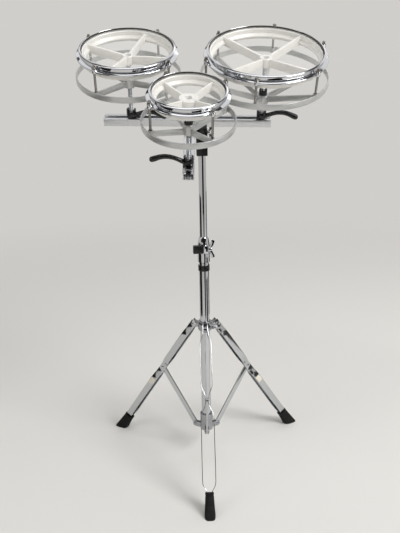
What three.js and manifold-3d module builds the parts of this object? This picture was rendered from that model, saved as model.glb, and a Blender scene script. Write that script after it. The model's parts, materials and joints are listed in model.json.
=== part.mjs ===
// Set of three rototoms on a two-rail rack, with a tilting mast and a folding tripod.
// Millimetres, +Z up, the player's side towards -Y.

import * as THREE from 'three';
import { mergeVertices } from 'three/addons/utils/BufferGeometryUtils.js';
import Module from 'manifold-3d';

const wasm = await Module();
wasm.setup();

const degree = Math.PI / 180;

// Clearances and faceting
const fit = 0.3;
const cutOverrun = 4;
const bite = 1;
const ringSides = 36;
const tubeSides = 24;
const hubSides = 18;
const pinSides = 12;
const rodSides = 8;
const footSides = 8;
const nutSides = 6;
const bulbRings = 6;
const leverSteps = 9;

// Tripod
const lowerTubeRadius = 12.7;
const lowerTubeWall = 1.4;
const linkLength = 180.4;
const legAngle = 34.3 * degree;
const legAzimuth = -92.6 * degree;
const legCount = 3;
const pivotRadius = 33;
const hubPivotHeight = 76;
const pinRadius = 3;
const rivetHeadRadius = 4.6;
const rivetHeadHeight = 1.8;
const collarPivotHeight = hubPivotHeight + 2 * linkLength * Math.cos(legAngle);

// Brace hub at the foot of the lower tube
const hubRadius = 17;
const hubTopHeight = 117;
const hubFloor = 4;
const hubEarHalfHeight = 7;
const hubEarThickness = 2.5;
const braceThickness = 5;
const braceHalfWidth = 6.5;

// Sliding leg collar
const collarRadius = 18;
const collarHalfHeight = 12;
const collarLugThickness = 10;
const collarLugHalfHeight = 8;
const collarScrewAzimuth = -32.6 * degree;
const collarBossRadius = 7.5;
const collarBossLength = 9;

// Legs of two bowed strips
const stripThickness = 1.8;
const stripWidth = 17;
const stripHeadroom = 9;
const upperBow = 13.2;
const lowerBow = 15.2;
const upperBowStart = 32;
const upperRampLength = 19.4;
const midPinchHalfLength = 11;
const bowRamp = 28;
const footGripHalfGap = 4;

// Rubber feet
const footLength = 54;
const footTopHalfWidth = 10.8;
const footTopHalfDepth = 13.5;
const footFlare = 1.36;
const footGripLength = 24;
const footRampLength = 15;
const footSpacerLength = 8;

// Height clamp
const upperTubeRadius = 9.5;
const upperTubeWall = 1.3;
const clampSeatHeight = 589;
const clampSleeveLength = 41;
const clampDomeHeight = 25;
const clampScrewDrop = 3;
const upperTubeInsertion = 159;
const clampFootHeight = clampSeatHeight - clampSleeveLength;
const clampTopHeight = clampSeatHeight + clampDomeHeight;
const clampScrewHeight = clampSeatHeight - clampScrewDrop;
const upperTubeFoot = clampSeatHeight - upperTubeInsertion;
const clampRadius = 15.3;
const clampNeckRadius = 11.6;
const clampScrewOffset = 20;
const clampLugHeight = 20;
const clampLugDepth = 15;
const clampLugReach = 10;
const clampBlockLength = 26;
const clampBlockPocket = 22;
const clampGap = 1.4;
const bandDrop = 8;
const bandHeight = 15;
const bandWall = 1.6;
const bandFootHeight = clampFootHeight - bandDrop - bandHeight;

// Tilting head
const tiltPivotHeight = 874;
const tiltAngle = 25.3 * degree;
const postWidth = 27;
const postDepth = 24;
const postLength = 56;
const postSocketDepth = 34;
const tongueThickness = 11;
const tongueGap = 0.4;
const forkFloorGap = 2;
const seatThickness = 4;
const seatRadius = 11.8;
const seatLift = 2.9;
const railTurn = -3.65 * degree;
const saddleLength = 25;
const saddleWall = 3;
const saddleSideHeight = 11;
const studRadius = 4;
const studNutRadius = 7.4;
const studNutHeight = 6;

// Slotted rails
const railWidth = 26;
const railHeight = 18;
const railWall = 2;
const railSlot = 10.4;
const crossRailLeft = 232;
const crossRailRight = 164;
const armOffset = -28.8;
const armLength = 221.5;
const armBoltRadius = 3;
const armBoltHeadRadius = 6.4;
const armBoltHeadHeight = 5;

// Drum shafts and their clamps
const shaftRadius = 4.75;
const shaftShoulderRadius = 7.4;
const shaftShoulderHeight = 3;
const shaftTopRecess = 3;
const footPlateLength = 20;
const footPlateThickness = 4;
const footPlatePlay = 1.2;
const bossRadius = 11.3;
const bossHeight = 20.5;
const bossNotchDepth = 8;
const bossNotchWidth = 12.6;
const leverRadius = 5.4;
const leverBulbRadius = 6.6;
const leverReach = 80;
const leverRootHeight = 6.8;
const leverCrestHeight = 20.5;
const leverTipHeight = 12.5;

// Drum castings, the same on all three
const hoopAboveHead = 5;
const headFilm = 0.4;
const fleshHoopWidth = 5.1;
const fleshHoopHeight = 5;
const fleshHoopDrop = 7;
const rimHeight = 25;
const rimWall = 4;
const rimLipDrop = 16;
const rimLipWidth = 6;
const rimLipHeight = 3.4;
const rimLipFillet = 5;
const bearingEdgeWidth = 1.6;
const spokeCount = 4;
const spokeRimDrop = 4.5;
const upperHubDrop = 19;
const upperHubHeight = 21;
const hoopWall = 2.4;
const hoopBead = 3.2;
const hoopShoulderDrop = 9.4;
const hoopFlangeWidth = 12;
const hoopFlangeHeight = 3.2;
const hoopDepth = 17;
const earRadius = 5.4;
const earHeight = 9;
const rodRadius = 3;
const rodWasherRadius = 5.2;
const rodWasherHeight = 1.2;
const rodHeadRadius = 4.3;
const rodHeadHeight = 6.2;
const cageRingHeight = 14;
const cageRingWall = 3.4;
const cageArmThickness = 4.6;
const cageArmHubHeight = 15;
const cageLugRadius = 5.2;
const bushSleeveRadius = 6.8;
const bushFlangeRadius = 9.2;

// Left drum, of 8 inch; the heights of every drum are above the top of its rail
const leftHeadRadius = 101.6;
const leftOffset = -166.5;
const leftHoopTop = 174;
const leftRingTop = 113;
const leftRingRadius = 119.6;
const leftBoltRadius = 112.6;
const leftHubCentre = 89;
const leftArmHeight = 89;
const leftHubRadius = 13.4;
const leftHubHeight = 22;
const leftBushHeight = 5;
const leftUpperHubRadius = 12.5;
const leftSpokeThickness = 6;
const leftBoltCount = 4;
const leftFirstBolt = 34 * degree;
const leftFirstSpoke = 19.5 * degree;
const leftLeverHeading = -14 * degree;

// Right drum, of 10 inch
const rightHeadRadius = 127;
const rightOffset = 141;
const rightHoopTop = 171.5;
const rightRingTop = 114;
const rightRingRadius = 146.4;
const rightBoltRadius = 140;
const rightHubCentre = 52;
const rightArmHeight = 52;
const rightHubRadius = 15;
const rightHubHeight = 20;
const rightBushHeight = 13;
const rightUpperHubRadius = 14;
const rightSpokeThickness = 6.4;
const rightBoltCount = 6;
const rightFirstBolt = 12.1 * degree;
const rightFirstSpoke = 43 * degree;
const rightLeverHeading = -12 * degree;

// Front drum, of 6 inch, on the arm
const frontHeadRadius = 76.2;
const frontReach = 173.6;
const frontHoopTop = 181.8;
const frontRingTop = 115.3;
const frontRingRadius = 101.4;
const frontBoltRadius = 91.2;
const frontHubCentre = 90.3;
const frontArmHeight = 85.4;
const frontHubRadius = 12.6;
const frontHubHeight = 25;
const frontBushHeight = 8;
const frontUpperHubRadius = 20.5;
const frontSpokeThickness = 3.8;
const frontBoltCount = 4;
const frontFirstBolt = 57.5 * degree;
const frontFirstSpoke = 43.5 * degree;
const frontLeverHeading = 180 * degree;

const drums = [
  {
    name: 'left',
    headRadius: leftHeadRadius,
    along: leftOffset,
    across: 0,
    onArm: false,
    hoopTop: leftHoopTop,
    ringTop: leftRingTop,
    ringRadius: leftRingRadius,
    boltRadius: leftBoltRadius,
    hubCentre: leftHubCentre,
    armHeight: leftArmHeight,
    hubRadius: leftHubRadius,
    hubHeight: leftHubHeight,
    bushHeight: leftBushHeight,
    upperHubRadius: leftUpperHubRadius,
    spokeThickness: leftSpokeThickness,
    bolts: leftBoltCount,
    firstBolt: leftFirstBolt,
    firstSpoke: leftFirstSpoke,
    lever: leftLeverHeading,
  },
  {
    name: 'right',
    headRadius: rightHeadRadius,
    along: rightOffset,
    across: 0,
    onArm: false,
    hoopTop: rightHoopTop,
    ringTop: rightRingTop,
    ringRadius: rightRingRadius,
    boltRadius: rightBoltRadius,
    hubCentre: rightHubCentre,
    armHeight: rightArmHeight,
    hubRadius: rightHubRadius,
    hubHeight: rightHubHeight,
    bushHeight: rightBushHeight,
    upperHubRadius: rightUpperHubRadius,
    spokeThickness: rightSpokeThickness,
    bolts: rightBoltCount,
    firstBolt: rightFirstBolt,
    firstSpoke: rightFirstSpoke,
    lever: rightLeverHeading,
  },
  {
    name: 'front',
    headRadius: frontHeadRadius,
    along: armOffset,
    across: -frontReach,
    onArm: true,
    hoopTop: frontHoopTop,
    ringTop: frontRingTop,
    ringRadius: frontRingRadius,
    boltRadius: frontBoltRadius,
    hubCentre: frontHubCentre,
    armHeight: frontArmHeight,
    hubRadius: frontHubRadius,
    hubHeight: frontHubHeight,
    bushHeight: frontBushHeight,
    upperHubRadius: frontUpperHubRadius,
    spokeThickness: frontSpokeThickness,
    bolts: frontBoltCount,
    firstBolt: frontFirstBolt,
    firstSpoke: frontFirstSpoke,
    lever: frontLeverHeading,
  },
];

// Wing screw of the leg collar
const collarScrewBoss = 6;
const collarScrewBossLength = 9;
const collarScrewSpan = 34;
const collarScrewThickness = 3.4;
const collarScrewTip = 5;
const collarScrewFlare = 9;

// Wing screw of the height clamp
const heightScrewBoss = 6.2;
const heightScrewBossLength = 10;
const heightScrewSpan = 48;
const heightScrewThickness = 3.6;
const heightScrewTip = 5;
const heightScrewFlare = 7;

// Wing screw of the tilt
const tiltScrewBoss = 5.4;
const tiltScrewBossLength = 8;
const tiltScrewSpan = 29;
const tiltScrewThickness = 3;
const tiltScrewTip = 4;
const tiltScrewFlare = 5;

const collarScrewSizes = {
  boss: collarScrewBoss,
  bossLength: collarScrewBossLength,
  span: collarScrewSpan,
  thickness: collarScrewThickness,
  tip: collarScrewTip,
  flare: collarScrewFlare,
};
const heightScrewSizes = {
  boss: heightScrewBoss,
  bossLength: heightScrewBossLength,
  span: heightScrewSpan,
  thickness: heightScrewThickness,
  tip: heightScrewTip,
  flare: heightScrewFlare,
};
const tiltScrewSizes = {
  boss: tiltScrewBoss,
  bossLength: tiltScrewBossLength,
  span: tiltScrewSpan,
  thickness: tiltScrewThickness,
  tip: tiltScrewTip,
  flare: tiltScrewFlare,
};

// Finishes
const chrome = new THREE.MeshStandardMaterial({ color: 0xd9dbde, roughness: 0.12, metalness: 1 });
const zinc = new THREE.MeshStandardMaterial({ color: 0xc9ccd0, roughness: 0.25, metalness: 1 });
const castWhite = new THREE.MeshStandardMaterial({ color: 0xdedcd6, roughness: 0.35, metalness: 0.2 });
const clearFilm = new THREE.MeshStandardMaterial({ color: 0xf2f2ee, roughness: 0.08, metalness: 0 });
const castMetal = new THREE.MeshStandardMaterial({ color: 0xd2d3d3, roughness: 0.3, metalness: 0.8 });
const blackEnamel = new THREE.MeshStandardMaterial({ color: 0x17171a, roughness: 0.45, metalness: 0.2 });
const blackNylon = new THREE.MeshStandardMaterial({ color: 0x1a1a1c, roughness: 0.55, metalness: 0 });
const blackGrip = new THREE.MeshStandardMaterial({ color: 0x161618, roughness: 0.3, metalness: 0 });
const blackRubber = new THREE.MeshStandardMaterial({ color: 0x141415, roughness: 0.85, metalness: 0 });

// Closed geometry to solid, leaving out the empty triangles at a pole
function solid(geometry) {
  const plain = geometry.clone();
  plain.deleteAttribute('normal');
  plain.deleteAttribute('uv');
  const merged = mergeVertices(plain);
  const index = merged.index.array;
  const kept = [];
  for (let i = 0; i < index.length; i += 3) {
    const [a, b, c] = [index[i], index[i + 1], index[i + 2]];
    if (a !== b && b !== c && c !== a) kept.push(a, b, c);
  }
  return new wasm.Manifold(new wasm.Mesh({
    numProp: 3,
    vertProperties: new Float32Array(merged.attributes.position.array),
    triVerts: new Uint32Array(kept),
  }));
}

function geometryOf(body) {
  const mesh = body.getMesh();
  const geometry = new THREE.BufferGeometry();
  geometry.setAttribute('position', new THREE.BufferAttribute(mesh.vertProperties, 3));
  geometry.setIndex(new THREE.BufferAttribute(mesh.triVerts, 1));
  geometry.computeVertexNormals();
  return geometry;
}

// One body from some geometries, less some others
function shaped(added, removed = []) {
  let body = solid(added[0]);
  for (const geometry of added.slice(1)) body = body.add(solid(geometry));
  for (const geometry of removed) body = body.subtract(solid(geometry));
  return geometryOf(body);
}

// Body of revolution about +Z from [radius, height] points
function turned(profile, sides) {
  const points = profile.map(([radius, height]) => new THREE.Vector2(radius, height));
  if (THREE.ShapeUtils.isClockWise(points)) points.reverse();
  if (points[0].x > 0) points.push(points[0].clone());
  return new THREE.LatheGeometry(points, sides).rotateX(Math.PI / 2);
}

// Round bar along +Z between two heights
function bar(radius, low, high, sides) {
  const height = high - low;
  return new THREE.CylinderGeometry(radius, radius, height, sides).rotateX(Math.PI / 2)
    .translate(0, 0, low + height / 2);
}

// Round bar along +X or along +Y between two places
function barX(radius, from, to, sides) {
  return bar(radius, from, to, sides).rotateY(Math.PI / 2);
}

function barY(radius, from, to, sides) {
  return bar(radius, from, to, sides).rotateX(-Math.PI / 2);
}

// Block between two corners
function block([x0, y0, z0], [x1, y1, z1]) {
  return new THREE.BoxGeometry(x1 - x0, y1 - y0, z1 - z0)
    .translate((x0 + x1) / 2, (y0 + y1) / 2, (z0 + z1) / 2);
}

// Flat outline given as a shape, extruded along +Z and centred on its thickness
function slab(shape, thickness, curveSegments = rodSides) {
  return new THREE.ExtrudeGeometry(shape, { depth: thickness, bevelEnabled: false, curveSegments })
    .translate(0, 0, -thickness / 2);
}

function outline(points) {
  return new THREE.Shape(points.map(([x, y]) => new THREE.Vector2(x, y)));
}

// Round-ended lug: flat at x = root, round about the origin; it stands in the XZ plane
function lug(root, halfHeight, thickness) {
  const shape = new THREE.Shape();
  shape.moveTo(root, -halfHeight);
  shape.lineTo(0, -halfHeight);
  shape.absarc(0, 0, halfHeight, -Math.PI / 2, Math.PI / 2, false);
  shape.lineTo(root, halfHeight);
  return slab(shape, thickness).rotateX(Math.PI / 2);
}

// Link with two round ends, from the origin up to the given length, in the XZ plane
function link(length, halfWidth, thickness) {
  const shape = new THREE.Shape();
  shape.absarc(0, 0, halfWidth, Math.PI, 2 * Math.PI, false);
  shape.absarc(0, length, halfWidth, 0, Math.PI, false);
  return slab(shape, thickness).rotateX(Math.PI / 2);
}

// Screw along +X with two wings; x = 0 is the face that its boss bears on
function wingScrew(reach, { boss, bossLength, span, thickness, tip, flare }) {
  const half = span / 2;
  const wing = new THREE.Shape();
  wing.moveTo(fit, 0);
  wing.lineTo(flare, half - tip);
  wing.absarc(flare + tip, half - tip, tip, Math.PI, 0, true);
  wing.lineTo(bossLength, 0);
  const upper = slab(wing, thickness).rotateX(Math.PI / 2);
  const lower = upper.clone().rotateX(Math.PI);
  return shaped([
    barX(pinRadius, -reach, bite, pinSides),
    barX(boss, 0, bossLength, pinSides),
    upper,
    lower,
  ]);
}

function piece(parent, name, geometry, material) {
  const mesh = new THREE.Mesh(geometry, material);
  mesh.name = name;
  parent.add(mesh);
  return mesh;
}

function groupAt(parent, x, y, z) {
  const group = new THREE.Group();
  group.position.set(x, y, z);
  parent.add(group);
  return group;
}

// Angles of the tripod's legs, and of a drum's bolts or spokes, which run clockwise from +Y
const legAzimuths = Array.from({ length: legCount }, (_, i) => legAzimuth + (i * 2 * Math.PI) / legCount);
const legNames = ['front', 'right', 'left'];

function clockwise(first, count) {
  return Array.from({ length: count }, (_, i) => Math.PI / 2 - first - (i * 2 * Math.PI) / count);
}

// Brace hub: a cup on the tube's end with a forked ear and its pin for each brace
const hubBottomHeight = hubPivotHeight - hubEarHalfHeight;
const forkHalfGap = braceThickness / 2 + fit;

function braceHub() {
  const bore = lowerTubeRadius + fit;
  const floorTop = hubBottomHeight + hubFloor;
  const cup = turned([
    [0, hubBottomHeight],
    [hubRadius, hubBottomHeight],
    [hubRadius, hubTopHeight],
    [bore, hubTopHeight],
    [bore, floorTop],
    [0, floorTop],
  ], tubeSides);
  const ears = [];
  const pinEnd = forkHalfGap + hubEarThickness + rivetHeadHeight;
  for (const azimuth of legAzimuths) {
    const fork = [
      ...[-1, 1].map((side) => lug(hubRadius - pivotRadius - bite, hubEarHalfHeight, hubEarThickness)
        .translate(0, side * (forkHalfGap + hubEarThickness / 2), 0)),
      ...[-1, 1].map((side) => barY(rivetHeadRadius, 0, rivetHeadHeight + bite, pinSides)
        .translate(0, side > 0 ? pinEnd - rivetHeadHeight - bite : -pinEnd, 0)),
      barY(pinRadius, -pinEnd + bite, pinEnd - bite, pinSides),
    ];
    for (const geometry of fork) {
      ears.push(geometry.translate(pivotRadius, 0, hubPivotHeight).rotateZ(azimuth));
    }
  }
  return shaped([cup, ...ears]);
}

// Leg collar: a ring that slides on the tube, a lug for each leg and a boss for its screw
const collarBossEnd = collarRadius + collarBossLength;

function legCollar() {
  const low = collarPivotHeight - collarHalfHeight;
  const high = collarPivotHeight + collarHalfHeight;
  const bore = lowerTubeRadius + fit;
  const ring = turned([[bore, low], [collarRadius, low], [collarRadius, high], [bore, high]], tubeSides);
  const lugs = [];
  const holes = [];
  for (const azimuth of legAzimuths) {
    const root = collarRadius - pivotRadius - bite;
    const half = collarLugThickness / 2 + cutOverrun;
    lugs.push(lug(root, collarLugHalfHeight, collarLugThickness)
      .translate(pivotRadius, 0, collarPivotHeight).rotateZ(azimuth));
    holes.push(barY(pinRadius + fit, -half, half, pinSides)
      .translate(pivotRadius, 0, collarPivotHeight).rotateZ(azimuth));
  }
  const boss = barX(collarBossRadius, collarRadius - bite, collarBossEnd, pinSides)
    .translate(0, 0, collarPivotHeight).rotateZ(collarScrewAzimuth);
  const screwHole = barX(pinRadius + fit, 0, collarBossEnd + cutOverrun, pinSides)
    .translate(0, 0, collarPivotHeight).rotateZ(collarScrewAzimuth);
  const tubeHole = bar(bore, low - cutOverrun, high + cutOverrun, tubeSides);
  return shaped([ring, ...lugs, boss], [...holes, screwHole, tubeHole]);
}

// One leg, its pivot at the origin and its strips running down -Z
const legLength = collarPivotHeight / Math.cos(legAngle);
const footTop = legLength - footLength;
const gripEnd = footTop + footGripLength;

function legStrip(side) {
  const lugHalf = collarLugThickness / 2 + fit;
  const pinchHalf = braceThickness / 2 + fit;
  const pinchStart = linkLength - midPinchHalfLength;
  const pinchEnd = linkLength + midPinchHalfLength;
  const inner = [
    [-stripHeadroom, lugHalf],
    [stripHeadroom, lugHalf],
    [upperBowStart, upperBow],
    [pinchStart - upperRampLength, upperBow],
    [pinchStart, pinchHalf],
    [pinchEnd, pinchHalf],
    [pinchEnd + bowRamp, lowerBow],
    [footTop - footRampLength, lowerBow],
    [footTop, footGripHalfGap],
    [gripEnd, footGripHalfGap],
  ];
  const outer = inner.map(([down, half]) => [down, half + stripThickness]).reverse();
  const shape = outline([...inner, ...outer].map(([down, half]) => [side * half, -down]));
  return slab(shape, stripWidth).rotateX(Math.PI / 2).rotateZ(Math.PI / 2);
}

function leg() {
  const lugOuter = collarLugThickness / 2 + fit + stripThickness;
  const pinchOuter = braceThickness / 2 + fit + stripThickness;
  const pinEnd = lugOuter + rivetHeadHeight;
  const added = [legStrip(-1), legStrip(1), barY(pinRadius, -pinEnd + bite, pinEnd - bite, pinSides)];
  for (const side of [-1, 1]) {
    const heads = [
      [rivetHeadRadius, lugOuter, 0],
      [rivetHeadRadius, pinchOuter, linkLength],
    ];
    for (const [radius, face, down] of heads) {
      const from = side > 0 ? face - stripThickness / 2 : -face - rivetHeadHeight;
      added.push(barY(radius, from, from + rivetHeadHeight + stripThickness / 2, pinSides)
        .translate(0, 0, -down));
    }
  }
  const half = footGripHalfGap + stripThickness / 2;
  added.push(block(
    [-stripWidth / 2 + bite, -half, -gripEnd + bite],
    [stripWidth / 2 - bite, half, -gripEnd + bite + footSpacerLength],
  ));
  return shaped(added);
}

// Rubber foot: a flared eight-sided boot with a pocket for the strips, cut flat on the floor
function rubberFoot() {
  const apothemShare = Math.cos(Math.PI / footSides);
  const length = legLength - footTop + footTopHalfDepth;
  const boot = new THREE.CylinderGeometry(1, footFlare, length, footSides, 1, false, Math.PI / footSides)
    .rotateX(Math.PI / 2)
    .scale(footTopHalfDepth / apothemShare, footTopHalfWidth / apothemShare, 1)
    .translate(0, 0, -footTop - length / 2);
  const halfGap = footGripHalfGap + stripThickness + fit;
  const halfDepth = stripWidth / 2 + fit;
  const pocket = block([-halfDepth, -halfGap, -gripEnd - fit], [halfDepth, halfGap, -footTop + cutOverrun]);
  const floor = block([-legLength, -legLength, -legLength], [legLength, legLength, 0])
    .translate(legLength * Math.sin(legAngle), 0, -collarPivotHeight)
    .rotateY(legAngle);
  return shaped([boot], [pocket, floor]);
}

// Brace, its pivot at the origin and its free end up +Z, inside the leg's pinch
function brace() {
  const half = braceThickness / 2 + cutOverrun;
  const hole = barY(pinRadius + fit, -half, half, pinSides);
  return shaped([link(linkLength, braceHalfWidth, braceThickness)], [hole]);
}

// Height clamp: sleeve over the lower tube, neck round the upper one, and a lug for the screw
function heightClamp() {
  const bore = lowerTubeRadius + fit;
  const neckBore = upperTubeRadius + fit;
  const shoulder = (clampSeatHeight + clampTopHeight) / 2;
  const body = turned([
    [bore, clampFootHeight],
    [clampRadius, clampFootHeight],
    [clampRadius, clampSeatHeight],
    [(2 * clampRadius + clampNeckRadius) / 3, shoulder],
    [clampNeckRadius, clampTopHeight],
    [neckBore, clampTopHeight],
    [neckBore, clampSeatHeight],
    [bore, clampSeatHeight],
  ], tubeSides);
  const low = clampScrewHeight - clampLugHeight / 2;
  const high = clampScrewHeight + clampLugHeight / 2;
  const front = -clampScrewOffset - clampLugDepth / 2;
  const clampLug = block([-clampGap, front, low], [clampLugReach, -lowerTubeRadius, high]);
  const screwHole = barX(pinRadius + fit, -clampGap - cutOverrun, clampLugReach + cutOverrun, pinSides)
    .translate(0, -clampScrewOffset, clampScrewHeight);
  return shaped(
    [body, clampLug],
    [
      bar(bore, clampFootHeight - cutOverrun, clampSeatHeight, tubeSides),
      bar(neckBore, clampFootHeight, clampTopHeight + cutOverrun, tubeSides),
      screwHole,
    ],
  );
}

// Black jaw that the clamp's screw draws in
function clampBlock() {
  const low = clampScrewHeight - clampLugHeight / 2;
  const high = clampScrewHeight + clampLugHeight / 2;
  const right = -clampGap - fit;
  const front = -clampScrewOffset - clampLugDepth / 2;
  const jaw = block([right - clampBlockLength, front, low], [right, front + clampLugDepth, high]);
  const seat = bar(clampRadius + fit, low - cutOverrun, high + cutOverrun, tubeSides);
  const pocket = barX(pinRadius + fit, right - clampBlockPocket, right + cutOverrun, pinSides)
    .translate(0, -clampScrewOffset, clampScrewHeight);
  return shaped([jaw], [seat, pocket]);
}

// Post that the upper tube stands in, forked at its top round the tilting tongue
const postTopRadius = postDepth / 2;
const forkRadius = postTopRadius + forkFloorGap;

function tiltPost() {
  const shape = new THREE.Shape();
  shape.moveTo(-postTopRadius, -postLength);
  shape.lineTo(postTopRadius, -postLength);
  shape.absarc(0, 0, postTopRadius, 0, Math.PI, false);
  const body = slab(shape, postWidth).rotateX(Math.PI / 2).rotateZ(Math.PI / 2);
  const halfSlot = tongueThickness / 2 + tongueGap;
  const slot = block([-halfSlot, -forkRadius, -forkRadius], [halfSlot, forkRadius, forkRadius]);
  const socketTop = postSocketDepth - postLength;
  const socket = bar(upperTubeRadius + fit, -postLength - cutOverrun, socketTop, tubeSides);
  const half = postWidth / 2 + cutOverrun;
  return shaped([body], [slot, socket, barX(pinRadius + fit, -half, half, pinSides)]);
}

// Tongue with the round seat that the rails turn on, and the stud and nut that hold them
const railPivotDrop = postTopRadius + seatLift + seatThickness + fit + saddleWall + fit + railHeight;

function tiltKnuckle() {
  const seatTop = postTopRadius + seatLift + seatThickness;
  const tongue = link(seatTop - seatThickness / 2, postTopRadius, tongueThickness).rotateZ(Math.PI / 2);
  const trim = block([-postWidth, -postWidth, seatTop], [postWidth, postWidth, 2 * postWidth]);
  const nutFoot = seatTop + fit + saddleWall + fit + railWall + fit;
  const half = tongueThickness / 2 + cutOverrun;
  const stem = shaped([tongue], [trim]);
  return shaped(
    [
      stem,
      bar(seatRadius, seatTop - seatThickness, seatTop, hubSides),
      bar(studRadius, seatTop - bite, nutFoot + studNutHeight, pinSides),
      bar(studNutRadius, nutFoot, nutFoot + studNutHeight, nutSides),
    ],
    [barX(pinRadius + fit, -half, half, pinSides)],
  );
}

// In the rails' own frame, x runs along the cross rail and z = 0 is its top
function railSaddle() {
  const inner = railWidth / 2 + fit;
  const outer = inner + saddleWall;
  const floorTop = -railHeight - fit;
  const top = floorTop + saddleSideHeight;
  const low = floorTop - saddleWall;
  const section = outline([
    [-outer, low], [outer, low], [outer, top], [inner, top],
    [inner, floorTop], [-inner, floorTop], [-inner, top], [-outer, top],
  ]);
  const channel = slab(section, saddleLength).rotateX(Math.PI / 2).rotateZ(Math.PI / 2);
  return shaped([channel], [bar(studRadius + fit, low - cutOverrun, top, pinSides)]);
}

// Slotted channel along +X from one end to the other, with its slot up
function railSection() {
  const half = railWidth / 2;
  const inner = half - railWall;
  const lip = railSlot / 2;
  return outline([
    [-half, -railHeight], [half, -railHeight], [half, 0], [lip, 0], [lip, -railWall], [inner, -railWall],
    [inner, railWall - railHeight], [-inner, railWall - railHeight], [-inner, -railWall],
    [-lip, -railWall], [-lip, 0], [-half, 0],
  ]);
}

function rail(from, to) {
  return slab(railSection(), to - from).rotateX(Math.PI / 2).rotateZ(Math.PI / 2)
    .translate((from + to) / 2, 0, 0);
}

function crossRail() {
  const low = -railHeight - cutOverrun;
  const high = -railHeight / 2;
  return shaped(
    [rail(-crossRailLeft, crossRailRight)],
    [
      bar(studRadius + fit, low, high, pinSides),
      bar(armBoltRadius + fit, low, high, pinSides).translate(armOffset, 0, 0),
    ],
  );
}

const armDrop = railHeight + fit;

function armRail() {
  return shaped([rail(-railWidth / 2, armLength - railWidth / 2)])
    .rotateZ(-Math.PI / 2).translate(armOffset, 0, -armDrop);
}

// Bolt through the cross rail's floor to a plate under the arm's lips
function armBolt() {
  const headFoot = railWall - railHeight + fit;
  const plateTop = -armDrop - railWall - fit;
  const half = railWidth / 2 - railWall - footPlatePlay;
  return shaped([
    bar(armBoltHeadRadius, headFoot, headFoot + armBoltHeadHeight, nutSides),
    bar(armBoltRadius, plateTop - bite, headFoot + bite, pinSides),
    block([-half, -half, plateTop - footPlateThickness], [half, half, plateTop]),
  ]).translate(armOffset, 0, 0);
}

// Drum shaft: foot plate under the rail's lips, threaded stem, and a shoulder under the upper hub
function drumShaft(drum) {
  const hubTop = drum.hoopTop - upperHubDrop;
  const shoulderTop = hubTop - upperHubHeight - fit;
  const plateTop = -railWall - fit;
  const halfWidth = railWidth / 2 - railWall - footPlatePlay;
  const stem = turned([
    [0, plateTop - bite],
    [shaftRadius, plateTop - bite],
    [shaftRadius, shoulderTop - shaftShoulderHeight],
    [shaftShoulderRadius, shoulderTop - shaftShoulderHeight],
    [shaftShoulderRadius, shoulderTop],
    [shaftRadius, shoulderTop],
    [shaftRadius, hubTop - shaftTopRecess],
    [0, hubTop - shaftTopRecess],
  ], hubSides);
  const halfLength = footPlateLength / 2;
  const plate = block(
    [-halfLength, -halfWidth, plateTop - footPlateThickness],
    [halfLength, halfWidth, plateTop],
  );
  return shaped([stem, plate]);
}

// Lever nut that clamps the shaft to its rail: a notched boss and a curved black handle
function leverNut() {
  const low = fit;
  const boss = bar(bossRadius, low, low + bossHeight, hubSides);
  const notch = block(
    [-bossNotchWidth / 2, -bossRadius - cutOverrun, low + bossHeight - bossNotchDepth],
    [bossNotchWidth / 2, bossRadius + cutOverrun, low + bossHeight + cutOverrun],
  );
  const reachShares = [0.1, 0.34, 0.56, 0.8, 1];
  const heights = [leverRootHeight, (leverRootHeight + 2 * leverCrestHeight) / 3, leverCrestHeight,
    (leverCrestHeight + leverTipHeight) / 2, leverTipHeight];
  const path = new THREE.CatmullRomCurve3(
    reachShares.map((share, i) => new THREE.Vector3(share * leverReach, 0, heights[i])),
  );
  const section = new THREE.Shape();
  section.absarc(0, 0, leverRadius, 0, 2 * Math.PI, false);
  const handle = new THREE.ExtrudeGeometry(section, {
    steps: leverSteps,
    extrudePath: path,
    curveSegments: rodSides,
  });
  const bulb = new THREE.SphereGeometry(leverBulbRadius, rodSides, bulbRings)
    .rotateX(Math.PI / 2).translate(leverReach, 0, leverTipHeight);
  const bore = bar(shaftRadius + fit, -cutOverrun, bossHeight + cutOverrun, hubSides);
  return shaped([boss, handle, bulb], [notch, bore]);
}

// Upper frame: rim with its bearing edge and lower lip, four webbed spokes and the hub
function upperFrame(drum) {
  const edge = drum.hoopTop - hoopAboveHead;
  const foot = edge - rimHeight;
  const lipTop = edge - rimLipDrop;
  const outer = drum.headRadius;
  const inner = outer - rimWall;
  const rim = turned([
    [outer - bearingEdgeWidth, edge],
    [outer, edge - bearingEdgeWidth],
    [outer, foot],
    [inner, foot],
    [inner, lipTop - rimLipHeight],
    [inner - rimLipWidth, lipTop - rimLipHeight],
    [inner - rimLipWidth, lipTop],
    [inner, lipTop + rimLipFillet],
    [inner, edge - rimWall + bearingEdgeWidth],
  ], ringSides);
  const hubTop = drum.hoopTop - upperHubDrop;
  const hubFoot = hubTop - upperHubHeight;
  const hub = bar(drum.upperHubRadius, hubFoot, hubTop, hubSides);
  const spokes = clockwise(drum.firstSpoke, spokeCount).map((azimuth) => slab(outline([
    [shaftRadius + bite, hubFoot],
    [inner + bite, foot],
    [inner + bite, edge - spokeRimDrop],
    [shaftRadius + bite, hubTop],
  ]), drum.spokeThickness).rotateX(Math.PI / 2).rotateZ(azimuth));
  const bore = bar(shaftRadius + fit, hubFoot - cutOverrun, hubTop + cutOverrun, hubSides);
  return shaped([rim, hub, ...spokes], [bore]);
}

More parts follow.
